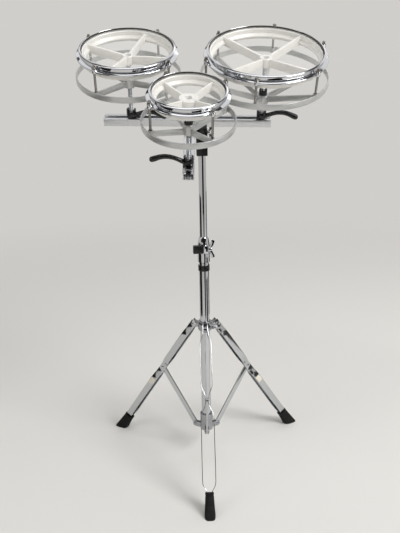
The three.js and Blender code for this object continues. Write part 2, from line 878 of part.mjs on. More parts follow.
// Drum head: film over the bearing edge, its collar and its flesh hoop
function drumHead(drum) {
  const under = drum.hoopTop - hoopAboveHead + fit;
  const collar = drum.headRadius + fit;
  const fleshTop = drum.hoopTop - hoopAboveHead - fleshHoopDrop;
  return shaped([turned([
    [0, under],
    [collar, under],
    [collar, fleshTop - fleshHoopHeight],
    [collar + fleshHoopWidth, fleshTop - fleshHoopHeight],
    [collar + fleshHoopWidth, fleshTop],
    [collar + headFilm, fleshTop],
    [collar + headFilm, under + headFilm],
    [0, under + headFilm],
  ], ringSides)]);
}

// Counterhoop: bead, wall, shoulder over the flesh hoop, and a flange with an ear for each rod
function counterHoop(drum) {
  const top = drum.hoopTop;
  const seat = top - hoopAboveHead - fleshHoopDrop + fit;
  const inner = drum.headRadius + fit + headFilm + fit;
  const skirt = drum.headRadius + fit + fleshHoopWidth + fit;
  const bottom = top - hoopDepth;
  const flange = drum.headRadius + hoopFlangeWidth;
  const hoop = turned([
    [inner, seat],
    [inner, top],
    [inner + hoopBead, top],
    [inner + hoopBead, top - hoopBead],
    [inner + hoopWall, top - hoopBead],
    [inner + hoopWall, top - hoopShoulderDrop],
    [flange, bottom + hoopFlangeHeight],
    [flange, bottom],
    [skirt, bottom],
    [skirt, seat],
  ], ringSides);
  const earTop = bottom + earHeight;
  const ears = [];
  const holes = [];
  for (const azimuth of clockwise(drum.firstBolt, drum.bolts)) {
    ears.push(bar(earRadius, bottom, earTop, pinSides).translate(drum.boltRadius, 0, 0).rotateZ(azimuth));
    ears.push(block([skirt + bite, -earRadius, bottom], [drum.boltRadius, earRadius, earTop])
      .rotateZ(azimuth));
    holes.push(bar(rodRadius + fit, bottom - cutOverrun, earTop + cutOverrun, pinSides)
      .translate(drum.boltRadius, 0, 0).rotateZ(azimuth));
  }
  return shaped([hoop, ...ears], holes);
}

// Lower frame: flat ring, an inclined arm to each lug, and the hub that runs on the thread
function lowerFrame(drum) {
  const ringFoot = drum.ringTop - cageRingHeight;
  const inner = drum.ringRadius - cageRingWall;
  const ring = turned([
    [inner, ringFoot],
    [drum.ringRadius, ringFoot],
    [drum.ringRadius, drum.ringTop],
    [inner, drum.ringTop],
  ], ringSides);
  const hubFoot = drum.hubCentre - drum.hubHeight / 2;
  const hubTop = hubFoot + drum.hubHeight;
  const hub = bar(drum.hubRadius, hubFoot, hubTop, hubSides);
  const arms = [];
  const holes = [];
  for (const azimuth of clockwise(drum.firstBolt, drum.bolts)) {
    const half = cageArmHubHeight / 2;
    arms.push(slab(outline([
      [bushSleeveRadius + bite, drum.armHeight - half],
      [inner + bite, ringFoot],
      [inner + bite, drum.ringTop - bite],
      [bushSleeveRadius + bite, drum.armHeight + half],
    ]), cageArmThickness).rotateX(Math.PI / 2).rotateZ(azimuth));
    arms.push(bar(cageLugRadius, ringFoot, drum.ringTop, pinSides)
      .translate(drum.boltRadius, 0, 0).rotateZ(azimuth));
    holes.push(bar(rodRadius + fit, ringFoot - cutOverrun, drum.ringTop + cutOverrun, pinSides)
      .translate(drum.boltRadius, 0, 0).rotateZ(azimuth));
  }
  const bore = bar(bushSleeveRadius + fit, hubFoot - cutOverrun, hubTop + cutOverrun, hubSides);
  return shaped([ring, hub, ...arms], [bore, ...holes]);
}

// Nylon bush in the lower hub
function threadBush(drum) {
  const hubFoot = drum.hubCentre - drum.hubHeight / 2;
  const flangeFoot = hubFoot + drum.hubHeight + fit;
  const bore = shaftRadius + fit;
  return shaped([turned([
    [bore, hubFoot],
    [bushSleeveRadius, hubFoot],
    [bushSleeveRadius, flangeFoot],
    [bushFlangeRadius, flangeFoot],
    [bushFlangeRadius, flangeFoot + drum.bushHeight],
    [bore, flangeFoot + drum.bushHeight],
  ], hubSides)]);
}

// Tension rod from the ear down through the lower frame's lug
function tensionRod(drum) {
  const seat = drum.hoopTop - hoopDepth + earHeight + fit;
  const foot = drum.ringTop - cageRingHeight;
  const washerTop = seat + rodWasherHeight;
  return shaped([turned([
    [0, foot],
    [rodRadius, foot],
    [rodRadius, seat],
    [rodWasherRadius, seat],
    [rodWasherRadius, washerTop],
    [rodHeadRadius, washerTop],
    [rodHeadRadius, washerTop + rodHeadHeight],
    [0, washerTop + rodHeadHeight],
  ], rodSides)]);
}

// Assembly of the stand
const part = new THREE.Group();
const stand = groupAt(part, 0, 0, 0);

const lowerTubeFoot = hubBottomHeight + hubFloor + fit;
const lowerTubeTop = clampSeatHeight - fit;
piece(stand, 'lower_tube', shaped([turned([
  [lowerTubeRadius - lowerTubeWall, lowerTubeFoot],
  [lowerTubeRadius, lowerTubeFoot],
  [lowerTubeRadius, lowerTubeTop],
  [lowerTubeRadius - lowerTubeWall, lowerTubeTop],
], tubeSides)]), chrome);
piece(stand, 'brace_hub', braceHub(), chrome);
piece(stand, 'leg_collar', legCollar(), chrome);

const collarScrew = groupAt(stand, 0, 0, collarPivotHeight);
collarScrew.rotation.z = collarScrewAzimuth;
const collarScrewReach = collarBossEnd - lowerTubeRadius;
piece(collarScrew, 'collar_wing_screw', wingScrew(collarScrewReach, collarScrewSizes), chrome)
  .position.x = collarBossEnd + fit;

legAzimuths.forEach((azimuth, i) => {
  const legPlane = groupAt(stand, 0, 0, 0);
  legPlane.rotation.z = azimuth;
  const legFrame = groupAt(legPlane, pivotRadius, 0, collarPivotHeight);
  legFrame.rotation.y = -legAngle;
  piece(legFrame, `leg_${legNames[i]}`, leg(), chrome);
  piece(legFrame, `foot_${legNames[i]}`, rubberFoot(), blackRubber);
  const braceFrame = groupAt(legPlane, pivotRadius, 0, hubPivotHeight);
  braceFrame.rotation.y = legAngle;
  piece(braceFrame, `brace_${legNames[i]}`, brace(), chrome);
});

const socketTop = tiltPivotHeight - postLength + postSocketDepth;
piece(stand, 'upper_tube', shaped([turned([
  [upperTubeRadius - upperTubeWall, upperTubeFoot],
  [upperTubeRadius, upperTubeFoot],
  [upperTubeRadius, socketTop - fit],
  [upperTubeRadius - upperTubeWall, socketTop - fit],
], tubeSides)]), chrome);
piece(stand, 'height_clamp', heightClamp(), chrome);
piece(stand, 'clamp_jaw', clampBlock(), blackEnamel);
piece(stand, 'tube_band', shaped([turned([
  [lowerTubeRadius + fit, bandFootHeight],
  [lowerTubeRadius + fit + bandWall, bandFootHeight],
  [lowerTubeRadius + fit + bandWall, bandFootHeight + bandHeight],
  [lowerTubeRadius + fit, bandFootHeight + bandHeight],
], tubeSides)]), blackNylon);
const heightScrew = groupAt(stand, clampLugReach + fit, -clampScrewOffset, clampScrewHeight);
const heightScrewReach = clampLugReach + clampGap + clampBlockPocket;
piece(heightScrew, 'height_wing_screw', wingScrew(heightScrewReach, heightScrewSizes), chrome);

// Head of the stand, tilted about the pivot, with the rails turned on their seat
const head = groupAt(stand, 0, 0, tiltPivotHeight);
piece(head, 'tilt_post', tiltPost(), blackEnamel);
const tiltScrew = groupAt(head, postWidth / 2 + fit, 0, 0);
piece(tiltScrew, 'tilt_wing_screw', wingScrew(postWidth, tiltScrewSizes), chrome);

const tilting = groupAt(head, 0, 0, 0);
tilting.rotation.x = tiltAngle;
piece(tilting, 'tilt_knuckle', tiltKnuckle(), blackEnamel);
const rails = groupAt(tilting, 0, 0, railPivotDrop);
rails.rotation.z = railTurn;
piece(rails, 'rail_saddle', railSaddle(), blackEnamel);
piece(rails, 'cross_rail', crossRail(), zinc);
piece(rails, 'arm_rail', armRail(), zinc);
piece(rails, 'arm_bolt', armBolt(), zinc);

// The three drums on their rails
for (const drum of drums) {
  const place = groupAt(rails, drum.along, drum.across, drum.onArm ? -armDrop : 0);
  const railHeading = drum.onArm ? Math.PI / 2 : 0;
  piece(place, `shaft_${drum.name}`, drumShaft(drum), zinc).rotation.z = railHeading;
  piece(place, `lever_${drum.name}`, leverNut(), blackGrip).rotation.z = drum.lever;
  piece(place, `upper_frame_${drum.name}`, upperFrame(drum), castWhite);
  piece(place, `drumhead_${drum.name}`, drumHead(drum), clearFilm);
  piece(place, `counterhoop_${drum.name}`, counterHoop(drum), chrome);
  piece(place, `lower_frame_${drum.name}`, lowerFrame(drum), castMetal);
  piece(place, `thread_bush_${drum.name}`, threadBush(drum), blackNylon);
  clockwise(drum.firstBolt, drum.bolts).forEach((azimuth, i) => {
    const rod = piece(place, `rod_${drum.name}_${i + 1}`, tensionRod(drum), chrome);
    rod.position.set(drum.boltRadius * Math.cos(azimuth), drum.boltRadius * Math.sin(azimuth), 0);
  });
}

// Origin on the floor, under the middle of the whole set
part.updateMatrixWorld(true);
const centre = new THREE.Box3().setFromObject(part, true).getCenter(new THREE.Vector3());
stand.position.set(-centre.x, -centre.y, 0);

export default part;
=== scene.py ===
"""Three tunable drums on a slotted rack, with a tilting mast and a folding tripod: their looks.

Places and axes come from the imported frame. Sizes are in millimetres and repeat those of its
solids. Each piece is made in the frame of the joint that carries it.
"""

from __future__ import annotations

import json
import logging
import math
from dataclasses import dataclass
from enum import Enum
from typing import Any, Sequence

import bmesh
import bpy
from mathutils import Matrix, Vector

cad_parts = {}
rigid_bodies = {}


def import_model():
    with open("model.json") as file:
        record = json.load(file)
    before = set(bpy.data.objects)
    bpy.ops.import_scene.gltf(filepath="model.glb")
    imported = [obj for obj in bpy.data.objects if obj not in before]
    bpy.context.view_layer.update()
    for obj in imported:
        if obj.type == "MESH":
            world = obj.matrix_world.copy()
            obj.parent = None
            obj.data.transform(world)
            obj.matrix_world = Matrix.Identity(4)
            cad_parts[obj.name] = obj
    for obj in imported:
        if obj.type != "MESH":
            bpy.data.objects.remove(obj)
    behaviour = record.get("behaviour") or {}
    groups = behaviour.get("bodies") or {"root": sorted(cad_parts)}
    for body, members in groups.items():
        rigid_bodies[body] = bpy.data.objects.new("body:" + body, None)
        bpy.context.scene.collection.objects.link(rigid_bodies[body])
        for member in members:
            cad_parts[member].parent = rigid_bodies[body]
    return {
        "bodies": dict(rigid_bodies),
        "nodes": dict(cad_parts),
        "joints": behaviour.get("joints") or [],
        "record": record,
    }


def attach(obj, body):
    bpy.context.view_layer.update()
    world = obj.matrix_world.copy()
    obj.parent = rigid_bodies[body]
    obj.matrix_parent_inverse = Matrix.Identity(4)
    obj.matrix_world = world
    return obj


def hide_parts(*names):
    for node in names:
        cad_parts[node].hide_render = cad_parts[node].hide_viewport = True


LOG = logging.getLogger("rototom_set")

MM = 0.001
TURN = 2 * math.pi

# Running clearance, and how near points are to the axis or to each other to be one, in millimetres
FIT = 0.3
ON_AXIS = FIT / 10
MERGE = FIT / 100

# Faces round each kind of round body
HOOP_SIDES = 144
FILM_SIDES = 120
TUBE_SIDES = 72
HUB_SIDES = 56
BAND_SIDES = 64
NUT_SIDES = 48
SHAFT_SIDES = 40
BOSS_SIDES = 36
RIVET_SIDES = 32
PIN_SIDES = 28
HOLE_SIDES = 24

# The inputs of a mix node that take its two colours
MIX_FIRST = 6
MIX_SECOND = 7

# Angles between faces, in degrees: sharper ones are bevelled, and shaded as corners
BEVEL_FROM = 32
SHARP_FROM = 38

Point = tuple[float, float]
Tree = bpy.types.NodeTree
Node = bpy.types.Node
Socket = bpy.types.NodeSocket


class Axis(Enum):
    """Ways to lay a shape made along Z, or a plate made in X and Y, on another axis."""

    X = Matrix.Rotation(math.pi / 2, 4, "Y")
    Y = Matrix.Rotation(-math.pi / 2, 4, "X")
    Z = Matrix.Identity(4)
    UPRIGHT = Matrix.Rotation(math.pi / 2, 4, "X")
    ALONG = Matrix(((0, 0, 1, 0), (1, 0, 0, 0), (0, 1, 0, 0), (0, 0, 0, 1)))


class Side(Enum):
    """The two sides of a plane of symmetry."""

    NEAR = -1
    FAR = 1


# Helpers for colours and nodes


def linear(colour: str) -> tuple[float, float, float, float]:
    """Turn an sRGB hex colour to linear values with full alpha.

    Args:
        colour: six hex digits, such as "d9dbde".

    Returns:
        Red, green, blue and alpha.
    """
    parts = [int(colour[i : i + 2], 16) / 255 for i in (0, 2, 4)]
    flat = [c / 12.92 if c <= 0.04045 else ((c + 0.055) / 1.055) ** 2.4 for c in parts]
    return (flat[0], flat[1], flat[2], 1.0)


def add(tree: Tree, kind: str, inputs: dict | None = None, **settings: Any) -> Node:
    """Add a node with its settings, and set or link its inputs.

    Args:
        tree: the node tree that takes it.
        kind: the node's type name.
        inputs: socket name or index to a value, or to the output socket that feeds it.
        settings: the node's own properties.

    Returns:
        The new node.
    """
    made = tree.nodes.new(kind)
    for key, value in settings.items():
        setattr(made, key, value)
    for key, value in (inputs or {}).items():
        if isinstance(value, Socket):
            tree.links.new(value, made.inputs[key])
        else:
            made.inputs[key].default_value = value
    return made


def mottle(tree: Tree, size: float, turn: Sequence[float] = (0, 0, 0),
           stretch: Sequence[float] = (1, 1, 1), detail: float = 2.0) -> Socket:
    """Make an uneven pattern on the piece's own coordinates.

    Args:
        tree: the material's node tree.
        size: the width of one patch, in millimetres.
        turn: rotation that lines the pattern up with the piece.
        stretch: scale of each axis after the turn; a small one draws the patches out.
        detail: octaves of finer pattern.

    Returns:
        The socket with the pattern, from 0 to 1.
    """
    place = add(tree, "ShaderNodeTexCoord").outputs["Object"]
    turned = add(tree, "ShaderNodeMapping", {"Vector": place, "Rotation": tuple(turn)})
    drawn = add(tree, "ShaderNodeMapping", {"Vector": turned.outputs[0], "Scale": tuple(stretch)})
    noise = add(tree, "ShaderNodeTexNoise",
                {"Vector": drawn.outputs[0], "Scale": 1 / (size * MM), "Detail": detail})
    return noise.outputs[0]


def spread(tree: Tree, source: Socket, low: float, high: float) -> Socket:
    """Carry a pattern's middle stretch, where nearly all of it lies, over to a range of values."""
    inputs = {"Value": source, "From Min": 0.3, "From Max": 0.7, "To Min": low, "To Max": high}
    return add(tree, "ShaderNodeMapRange", inputs).outputs[0]


def relief(tree: Tree, shader: Node, source: Socket, depth: float,
           strength: float) -> None:
    """Lay a fine relief on a shader's surface.

    Args:
        tree: the material's node tree.
        shader: the shader that takes the new normal.
        source: the pattern of heights.
        depth: height of the relief, in millimetres.
        strength: how much of it shows.
    """
    inputs = {"Height": source, "Distance": depth * MM, "Strength": strength}
    bump = add(tree, "ShaderNodeBump", inputs)
    tree.links.new(bump.outputs[0], shader.inputs["Normal"])


def roughen(tree: Tree, shader: Node, source: Socket, low: float,
            high: float) -> None:
    """Let a pattern carry a shader's roughness from a low value to a high one."""
    tree.links.new(spread(tree, source, low, high), shader.inputs["Roughness"])


def tint(tree: Tree, shader: Node, share: Socket, first: str, second: str) -> None:
    """Let a pattern mix a shader's base colour from two colours.

    Args:
        tree: the material's node tree.
        shader: its shader.
        share: how much of the second colour shows.
        first: the first colour, in hex digits.
        second: the second colour.
    """
    inputs = {"Factor": share, MIX_FIRST: linear(first), MIX_SECOND: linear(second)}
    mix = add(tree, "ShaderNodeMix", inputs, data_type="RGBA")
    tree.links.new(mix.outputs[2], shader.inputs["Base Color"])


def reckon(tree: Tree, operation: str, first: Any, second: Any) -> Socket:
    """Return the result of a math node on two values or sockets."""
    return add(tree, "ShaderNodeMath", {0: first, 1: second}, operation=operation).outputs[0]


def emptied(owner: bpy.types.Material | bpy.types.World) -> Tree:
    """Switch on a material's or a world's nodes and clear them.

    Args:
        owner: the material or the world.

    Returns:
        Its empty node tree.
    """
    owner.use_nodes = True
    owner.node_tree.nodes.clear()
    return owner.node_tree


# Helpers for objects and meshes


def linked(name: str, data: bpy.types.ID) -> bpy.types.Object:
    """Make an object and link it to the scene.

    Args:
        name: the object's name.
        data: its mesh, lamp or camera.

    Returns:
        The object.
    """
    made = bpy.data.objects.new(name, data)
    bpy.context.scene.collection.objects.link(made)
    return made


def meshed(part: bmesh.types.BMesh, name: str) -> bpy.types.Mesh:
    """Turn a finished body to a mesh, and free it.

    Args:
        part: the body.
        name: the mesh's name.

    Returns:
        The mesh.
    """
    mesh = bpy.data.meshes.new(name)
    part.to_mesh(mesh)
    part.free()
    return mesh


def evaluated(item: bpy.types.Object) -> bpy.types.Mesh:
    """Bake an object's modifier to a mesh, and remove both the modifier and the object.

    Args:
        item: the object.

    Returns:
        The mesh that its modifier makes.
    """
    graph = bpy.context.evaluated_depsgraph_get()
    mesh = bpy.data.meshes.new_from_object(item.evaluated_get(graph), depsgraph=graph)
    item.modifiers.clear()
    bpy.data.objects.remove(item)
    return mesh


# Finishes


@dataclass(frozen=True)
class Finish:
    """A finish with its common name, the record's slot, and the shader's constant values."""

    label: str
    slot: str
    colour: str
    metallic: float
    roughness: float

    def dress(self, tree: Tree, shader: Node) -> None:
        """Add what this finish shows close up, on its shader in its material's tree."""

    def material(self) -> bpy.types.Material:
        """Make the finish's material at its first use.

        Returns:
            The material.
        """
        found = bpy.data.materials.get(self.label)
        if found:
            return found
        made = bpy.data.materials.new(self.label)
        tree = emptied(made)
        inputs = {"Base Color": linear(self.colour), "Metallic": self.metallic, "Roughness": self.roughness}
        shader = add(tree, "ShaderNodeBsdfPrincipled", inputs)
        add(tree, "ShaderNodeOutputMaterial", {"Surface": shader.outputs[0]})
        self.dress(tree, shader)
        return made


@dataclass(frozen=True)
class ChromePlate(Finish):
    """Bright chrome on steel: mirror gloss, wiped here and there, over a slightly uneven base."""

    wave: float = 26.0
    wave_depth: float = 0.05

    def dress(self, tree: Tree, shader: Node) -> None:
        """Dull the mirror a little with smears, and bend what it shows with the base metal's waves."""
        roughen(tree, shader, mottle(tree, size=11, stretch=(1, 1, 0.5), detail=4),
                self.roughness, self.roughness + 0.07)
        relief(tree, shader, mottle(tree, size=self.wave), depth=self.wave_depth, strength=0.25)


@dataclass(frozen=True)
class SilverLacquer(Finish):
    """Silver lacquer on a die casting: satin, finely grained, a little darker in places."""

    dark: str = "b9b9b6"
    grain: float = 0.9

    def dress(self, tree: Tree, shader: Node) -> None:
        """Change the tone broadly, and grain the lacquer coarsely enough to show.

        Args:
            tree: the material's node tree.
            shader: its shader.
        """
        tint(tree, shader, spread(tree, mottle(tree, size=38, detail=3), 0, 0.6), self.colour, self.dark)
        grain = mottle(tree, size=self.grain, detail=1)
        roughen(tree, shader, grain, self.roughness - 0.05, self.roughness + 0.08)
        relief(tree, shader, grain, depth=0.03, strength=0.35)


@dataclass(frozen=True)
class DrawnAluminium(Finish):
    """Extruded, satin anodised aluminium: fine lines run the way it was drawn."""

    heading: tuple[float, float, float] = (0, 0, 0)

    def dress(self, tree: Tree, shader: Node) -> None:
        """Draw the die's lines along the rail, 0.8 mm apart so that they show.

        Args:
            tree: the material's node tree.
            shader: its shader.
        """
        lines = mottle(tree, size=0.8, turn=self.heading, stretch=(0.02, 1, 1), detail=2)
        roughen(tree, shader, lines, self.roughness - 0.07, self.roughness + 0.09)
        relief(tree, shader, lines, depth=0.02, strength=0.3)


@dataclass(frozen=True)
class ZincSteel(Finish):
    """Bright zinc on a steel thread: greyer and duller than chrome, with patchy passivation."""

    def dress(self, tree: Tree, shader: Node) -> None:
        """Lay patches of duller plate a few millimetres across."""
        roughen(tree, shader, mottle(tree, size=5, detail=4), self.roughness - 0.06, self.roughness + 0.14)


@dataclass(frozen=True)
class PolyesterFilm(Finish):
    """Clear polyester film: almost gone where looked through, with a faint milky veil."""

    veil: float = 0.07

    def dress(self, tree: Tree, shader: Node) -> None:
        """Let the frame below show through, and bend the film's gloss as its tension does.

        Args:
            tree: the material's node tree.
            shader: its shader.
        """
        shader.inputs["Alpha"].default_value = self.veil
        shader.inputs["IOR"].default_value = 1.6
        relief(tree, shader, mottle(tree, size=45, detail=1), depth=0.05, strength=0.15)


@dataclass(frozen=True)
class MouldedPlastic(Finish):
    """Moulded plastic: an even skin with the fine spark texture of its tool."""

    texture: float = 0.6
    texture_depth: float = 0.02

    def dress(self, tree: Tree, shader: Node) -> None:
        """Polish the skin here and there as hands do, over the tool's texture."""
        roughen(tree, shader, mottle(tree, size=14, detail=3), self.roughness - 0.08, self.roughness + 0.08)
        relief(tree, shader, mottle(tree, size=self.texture, detail=1), depth=self.texture_depth,
               strength=0.4)


@dataclass(frozen=True)
class BlackEnamel(Finish):
    """Black stoving enamel on cast metal: smooth, with the soft ripple of a sprayed coat."""

    def dress(self, tree: Tree, shader: Node) -> None:
        """Spray orange peel about 2 mm across under a thin gloss coat."""
        relief(tree, shader, mottle(tree, size=2.2, detail=1), depth=0.04, strength=0.35)
        for name, value in (("Specular IOR Level", 0.35), ("Coat Weight", 0.2), ("Coat Roughness", 0.2)):
            shader.inputs[name].default_value = value


@dataclass(frozen=True)
class MouldedRubber(Finish):
    """Moulded black rubber: dull, finely pitted, greyer with dust where it is rubbed."""

    dust: str = "232322"

    def dress(self, tree: Tree, shader: Node) -> None:
        """Rub soft patches of dust into a pitted skin.

        Args:
            tree: the material's node tree.
            shader: its shader.
        """
        tint(tree, shader, spread(tree, mottle(tree, size=9, detail=4), 0, 0.45), self.colour, self.dust)
        relief(tree, shader, mottle(tree, size=0.7, detail=2), depth=0.05, strength=0.5)
        shader.inputs["Specular IOR Level"].default_value = 0.25


# Hard dark and light bands on hoops, screws and the height clamp
CHROME = ChromePlate("Chrome plate on cast steel", "chrome", "cfd0d3", 1.0, 0.045)
# The long straight highlights of the mast
TUBE_CHROME = ChromePlate("Chrome plate on steel tube", "chrome", "cccdd0", 1.0, 0.04, 60.0, 0.03)
# Flat, softly waved mirrors on the legs and the braces
STRIP_CHROME = ChromePlate("Chrome plate on steel strip", "chrome", "c3c5c7", 1.0, 0.07, 18.0, 0.05)
# The collar and the hub: chrome darkened with painted shade for the dark surroundings that it reflects,
# with a softer shine
CHROME_WITH_PAINTED_SHADE = ChromePlate("Chrome darkened with painted shade", "chrome", "a6a7aa", 1.0, 0.09, 14.0, 0.06)
# Painted shade: a dark, dull chrome band inside each hoop, above the film, stands in for the shade there
HOOP_PAINTED_SHADE = ChromePlate("Painted shade band inside a hoop", "chrome", "57534c", 1.0, 0.3)
# Rods in a darker, warmer grey than the hoops: painted shade standing in for the dark reflections on the
# rods and their heads
ROD_PLATE_WITH_PAINTED_SHADE = ChromePlate("Rod plate darkened with painted shade", "chrome", "918e89", 1.0, 0.16, 9.0, 0.02)
# Nearly white spokes under the film
UPPER_LACQUER = SilverLacquer("Pale silver lacquer on die casting", "cast_white", "e6e4df", 0.1, 0.42,
                              "d2d0cb")
# The greyer, more metallic ring below
LOWER_LACQUER = SilverLacquer("Silver lacquer on die casting", "cast_metal", "c5c6c6", 0.65, 0.33, "acacaa")
# A sheen on what is otherwise open
FILM = PolyesterFilm("Clear polyester film", "clear_film", "f3f2ee", 0.0, 0.08)
# A satin line under the film's edge
FLESH_HOOP = DrawnAluminium("Rolled aluminium hoop", "clear_film", "c9cacb", 1.0, 0.35)
# The grey glint of a thread
ZINC = ZincSteel("Zinc plated steel thread", "zinc_plate", "b9bcc0", 1.0, 0.3)
# Deep black with a soft gleam on the post, the jaw, the saddle and the tongue
ENAMEL = BlackEnamel("Black stoving enamel", "black_enamel", "0c0c0d", 0.0, 0.38)
# Flat black on the thread bushes
NYLON = MouldedPlastic("Black moulded nylon", "black_nylon", "0f0f10", 0.0, 0.5)
# Glossy black on the levers, with a bright streak along each
GRIP = MouldedPlastic("Black gloss moulded grip", "black_grip", "0b0b0c", 0.0, 0.26, 1.4, 0.015)
# Dull black feet
RUBBER = MouldedRubber("Black moulded rubber", "black_rubber", "0a0a0a", 0.0, 0.78)
# A cream patch on the chrome of two legs
LABEL = MouldedPlastic("Blank vinyl label", "chrome", "d9d3c4", 0.0, 0.45, 3.0, 0.01)


# Helpers for outlines


def rounded(points: Sequence[Point], radius: float, steps: int = 3, ends: bool = True) -> list[Point]:
    """Round the corners of an outline that lies off the axis.

    Args:
        points: corners, in order.
        radius: how far from each corner its curve starts, at most 45% of the shorter side.
        steps: faces along each curve.
        ends: whether the outline closes, so that its first and last corners are rounded too.

    Returns:
        The points of the rounded outline.
    """
    out: list[Point] = []
    count = len(points)
    for i, corner in enumerate(points):
        before, after = Vector(points[i - 1]), Vector(points[(i + 1) % count])
        here = Vector(corner)
        on_end = not ends and i in (0, count - 1)
        if on_end or abs(corner[0]) < ON_AXIS:
            out.append((corner[0], corner[1]))
            continue
        reach = min(radius, 0.45 * (before - here).length, 0.45 * (after - here).length)
        start = here + (before - here).normalized() * reach
        end = here + (after - here).normalized() * reach
        for k in range(steps + 1):
            t = k / steps
            point = start * (1 - t) ** 2 + here * 2 * t * (1 - t) + end * t**2
            out.append((point.x, point.y))
    return out


def arc(centre: Point, radius: float, start: float, stop: float, steps: int) -> list[Point]:
    """Return points of an arc, its angles in degrees, with both ends."""
    angles = [math.radians(start + (stop - start) * k / steps) for k in range(steps + 1)]
    return [(centre[0] + radius * math.cos(a), centre[1] + radius * math.sin(a)) for a in angles]


def polygon(sides: int, radius: float) -> list[Point]:
    """Return the corners of a regular polygon."""
    turns = [TURN * k / sides for k in range(sides)]
    return [(radius * math.cos(a), radius * math.sin(a)) for a in turns]


def mirrored(right: Sequence[Point]) -> list[Point]:
    """Return an outline from its right half, with the left half its mirror image."""
    return [*right, *((-x, y) for x, y in reversed(right))]


def flowing(points: Sequence[Sequence[float]], steps: int) -> list[Vector]:
    """Run a smooth curve through some points.

    Args:
        points: what it goes through, with any number of values each.
        steps: points made from each to the next.

    Returns:
        The points of the curve, in order.
    """
    known = [Vector(p) for p in points]
    held = [2 * known[0] - known[1], *known, 2 * known[-1] - known[-2]]
    out = []
    for a, b, c, d in zip(held, held[1:], held[2:], held[3:]):
        for k in range(steps):
            t = k / steps
            out.append(0.5 * (2 * b + (c - a) * t + (2 * a - 5 * b + 4 * c - d) * t**2
                              + (3 * b - a - 3 * c + d) * t**3))
    return out + [known[-1]]


def at(x: float = 0, y: float = 0, z: float = 0, spin: float = 0) -> Matrix:
    """Return a move, after a turn about Z in degrees."""
    return Matrix.Translation((x, y, z)) @ Matrix.Rotation(math.radians(spin), 4, "Z")


# Geometry Nodes trees


def new_tree(name: str, sockets: Sequence[tuple[str, str]]) -> tuple[Tree, Node]:
    """Start a Geometry Nodes tree with named inputs.

    Args:
        name: the tree's name.
        sockets: name and socket type of each input.

    Returns:
        The tree and its input node.
    """
    tree = bpy.data.node_groups.new(name, "GeometryNodeTree")
    tree.interface.new_socket("Geometry", in_out="OUTPUT", socket_type="NodeSocketGeometry")
    for label, kind in sockets:
        tree.interface.new_socket(label, in_out="INPUT", socket_type=kind)
    return tree, add(tree, "NodeGroupInput")


def close_tree(tree: Tree, geometry: Socket, finish: Socket) -> None:
    """End a tree in real meshes that wear their finish.

    Args:
        tree: the tree.
        geometry: what it has made.
        finish: the material.
    """
    real = add(tree, "GeometryNodeRealizeInstances", {0: geometry}).outputs[0]
    worn = add(tree, "GeometryNodeSetMaterial", {"Geometry": real, "Material": finish})
    add(tree, "NodeGroupOutput", {0: worn.outputs[0]})


def circle_tree() -> Tree:
    """Make the tree that sets copies of a part on a circle about Z, at its first use.

    Returns:
        The tree.
    """
    name = "Parts on a circle"
    if name in bpy.data.node_groups:
        return bpy.data.node_groups[name]
    tree, given = new_tree(name, (
        ("Part", "NodeSocketObject"), ("Count", "NodeSocketInt"), ("Radius", "NodeSocketFloat"),
        ("First angle", "NodeSocketFloat"), ("Finish", "NodeSocketMaterial")))
    part, count, radius, first, finish = given.outputs[:5]
    points = add(tree, "GeometryNodeMeshLine", {"Count": count, "Offset": (0, 0, 0)}).outputs[0]
    index = add(tree, "GeometryNodeInputIndex").outputs[0]
    share = reckon(tree, "MULTIPLY", index, reckon(tree, "DIVIDE", -TURN, count))
    turn = add(tree, "ShaderNodeCombineXYZ", {"Z": reckon(tree, "ADD", share, first)}).outputs[0]
    model = add(tree, "GeometryNodeObjectInfo", {"Object": part, "As Instance": True}).outputs["Geometry"]
    copies = add(tree, "GeometryNodeInstanceOnPoints",
                 {"Points": points, "Instance": model, "Rotation": turn}).outputs[0]
    out = add(tree, "ShaderNodeCombineXYZ", {"X": radius}).outputs[0]
    moved = add(tree, "GeometryNodeTranslateInstances",
                {"Instances": copies, "Translation": out, "Local Space": True}).outputs[0]
    close_tree(tree, moved, finish)
    return tree


def thread_tree() -> Tree:
    """Make the tree that winds a screw thread's ridge about Z, at its first use.

    Returns:
        The tree.
    """
    name = "Screw thread"
    if name in bpy.data.node_groups:
        return bpy.data.node_groups[name]
    tree, given = new_tree(name, (
        ("Radius", "NodeSocketFloat"), ("Pitch", "NodeSocketFloat"), ("Length", "NodeSocketFloat"),
        ("Ridge", "NodeSocketFloat"), ("Finish", "NodeSocketMaterial")))
    radius, pitch, length, ridge, finish = given.outputs[:5]
    helix = add(tree, "GeometryNodeCurveSpiral",
                {"Resolution": 14, "Rotations": reckon(tree, "DIVIDE", length, pitch),
                 "Start Radius": radius, "End Radius": radius, "Height": length}).outputs[0]
    section = add(tree, "GeometryNodeCurvePrimitiveCircle", {"Resolution": 5, "Radius": ridge}).outputs[0]
    wound = add(tree, "GeometryNodeCurveToMesh",
                {"Curve": helix, "Profile Curve": section, "Fill Caps": True}).outputs[0]
    close_tree(tree, wound, finish)
    return tree


def baked(tree: Tree, inputs: dict[str, Any]) -> bpy.types.Mesh:
    """Run a Geometry Nodes tree on an empty mesh.

    Args:
        tree: the tree.
        inputs: value of each named input.

    Returns:
        The mesh that it makes, with no modifier left.
    """
    holder = linked("holder", bpy.data.meshes.new("holder"))
    modifier = holder.modifiers.new("tree", "NODES")
    modifier.node_group = tree
    for item in tree.interface.items_tree:
        if item.item_type == "SOCKET" and item.in_out == "INPUT":
            modifier[item.identifier] = inputs[item.name]
    return evaluated(holder)


# A piece in the making


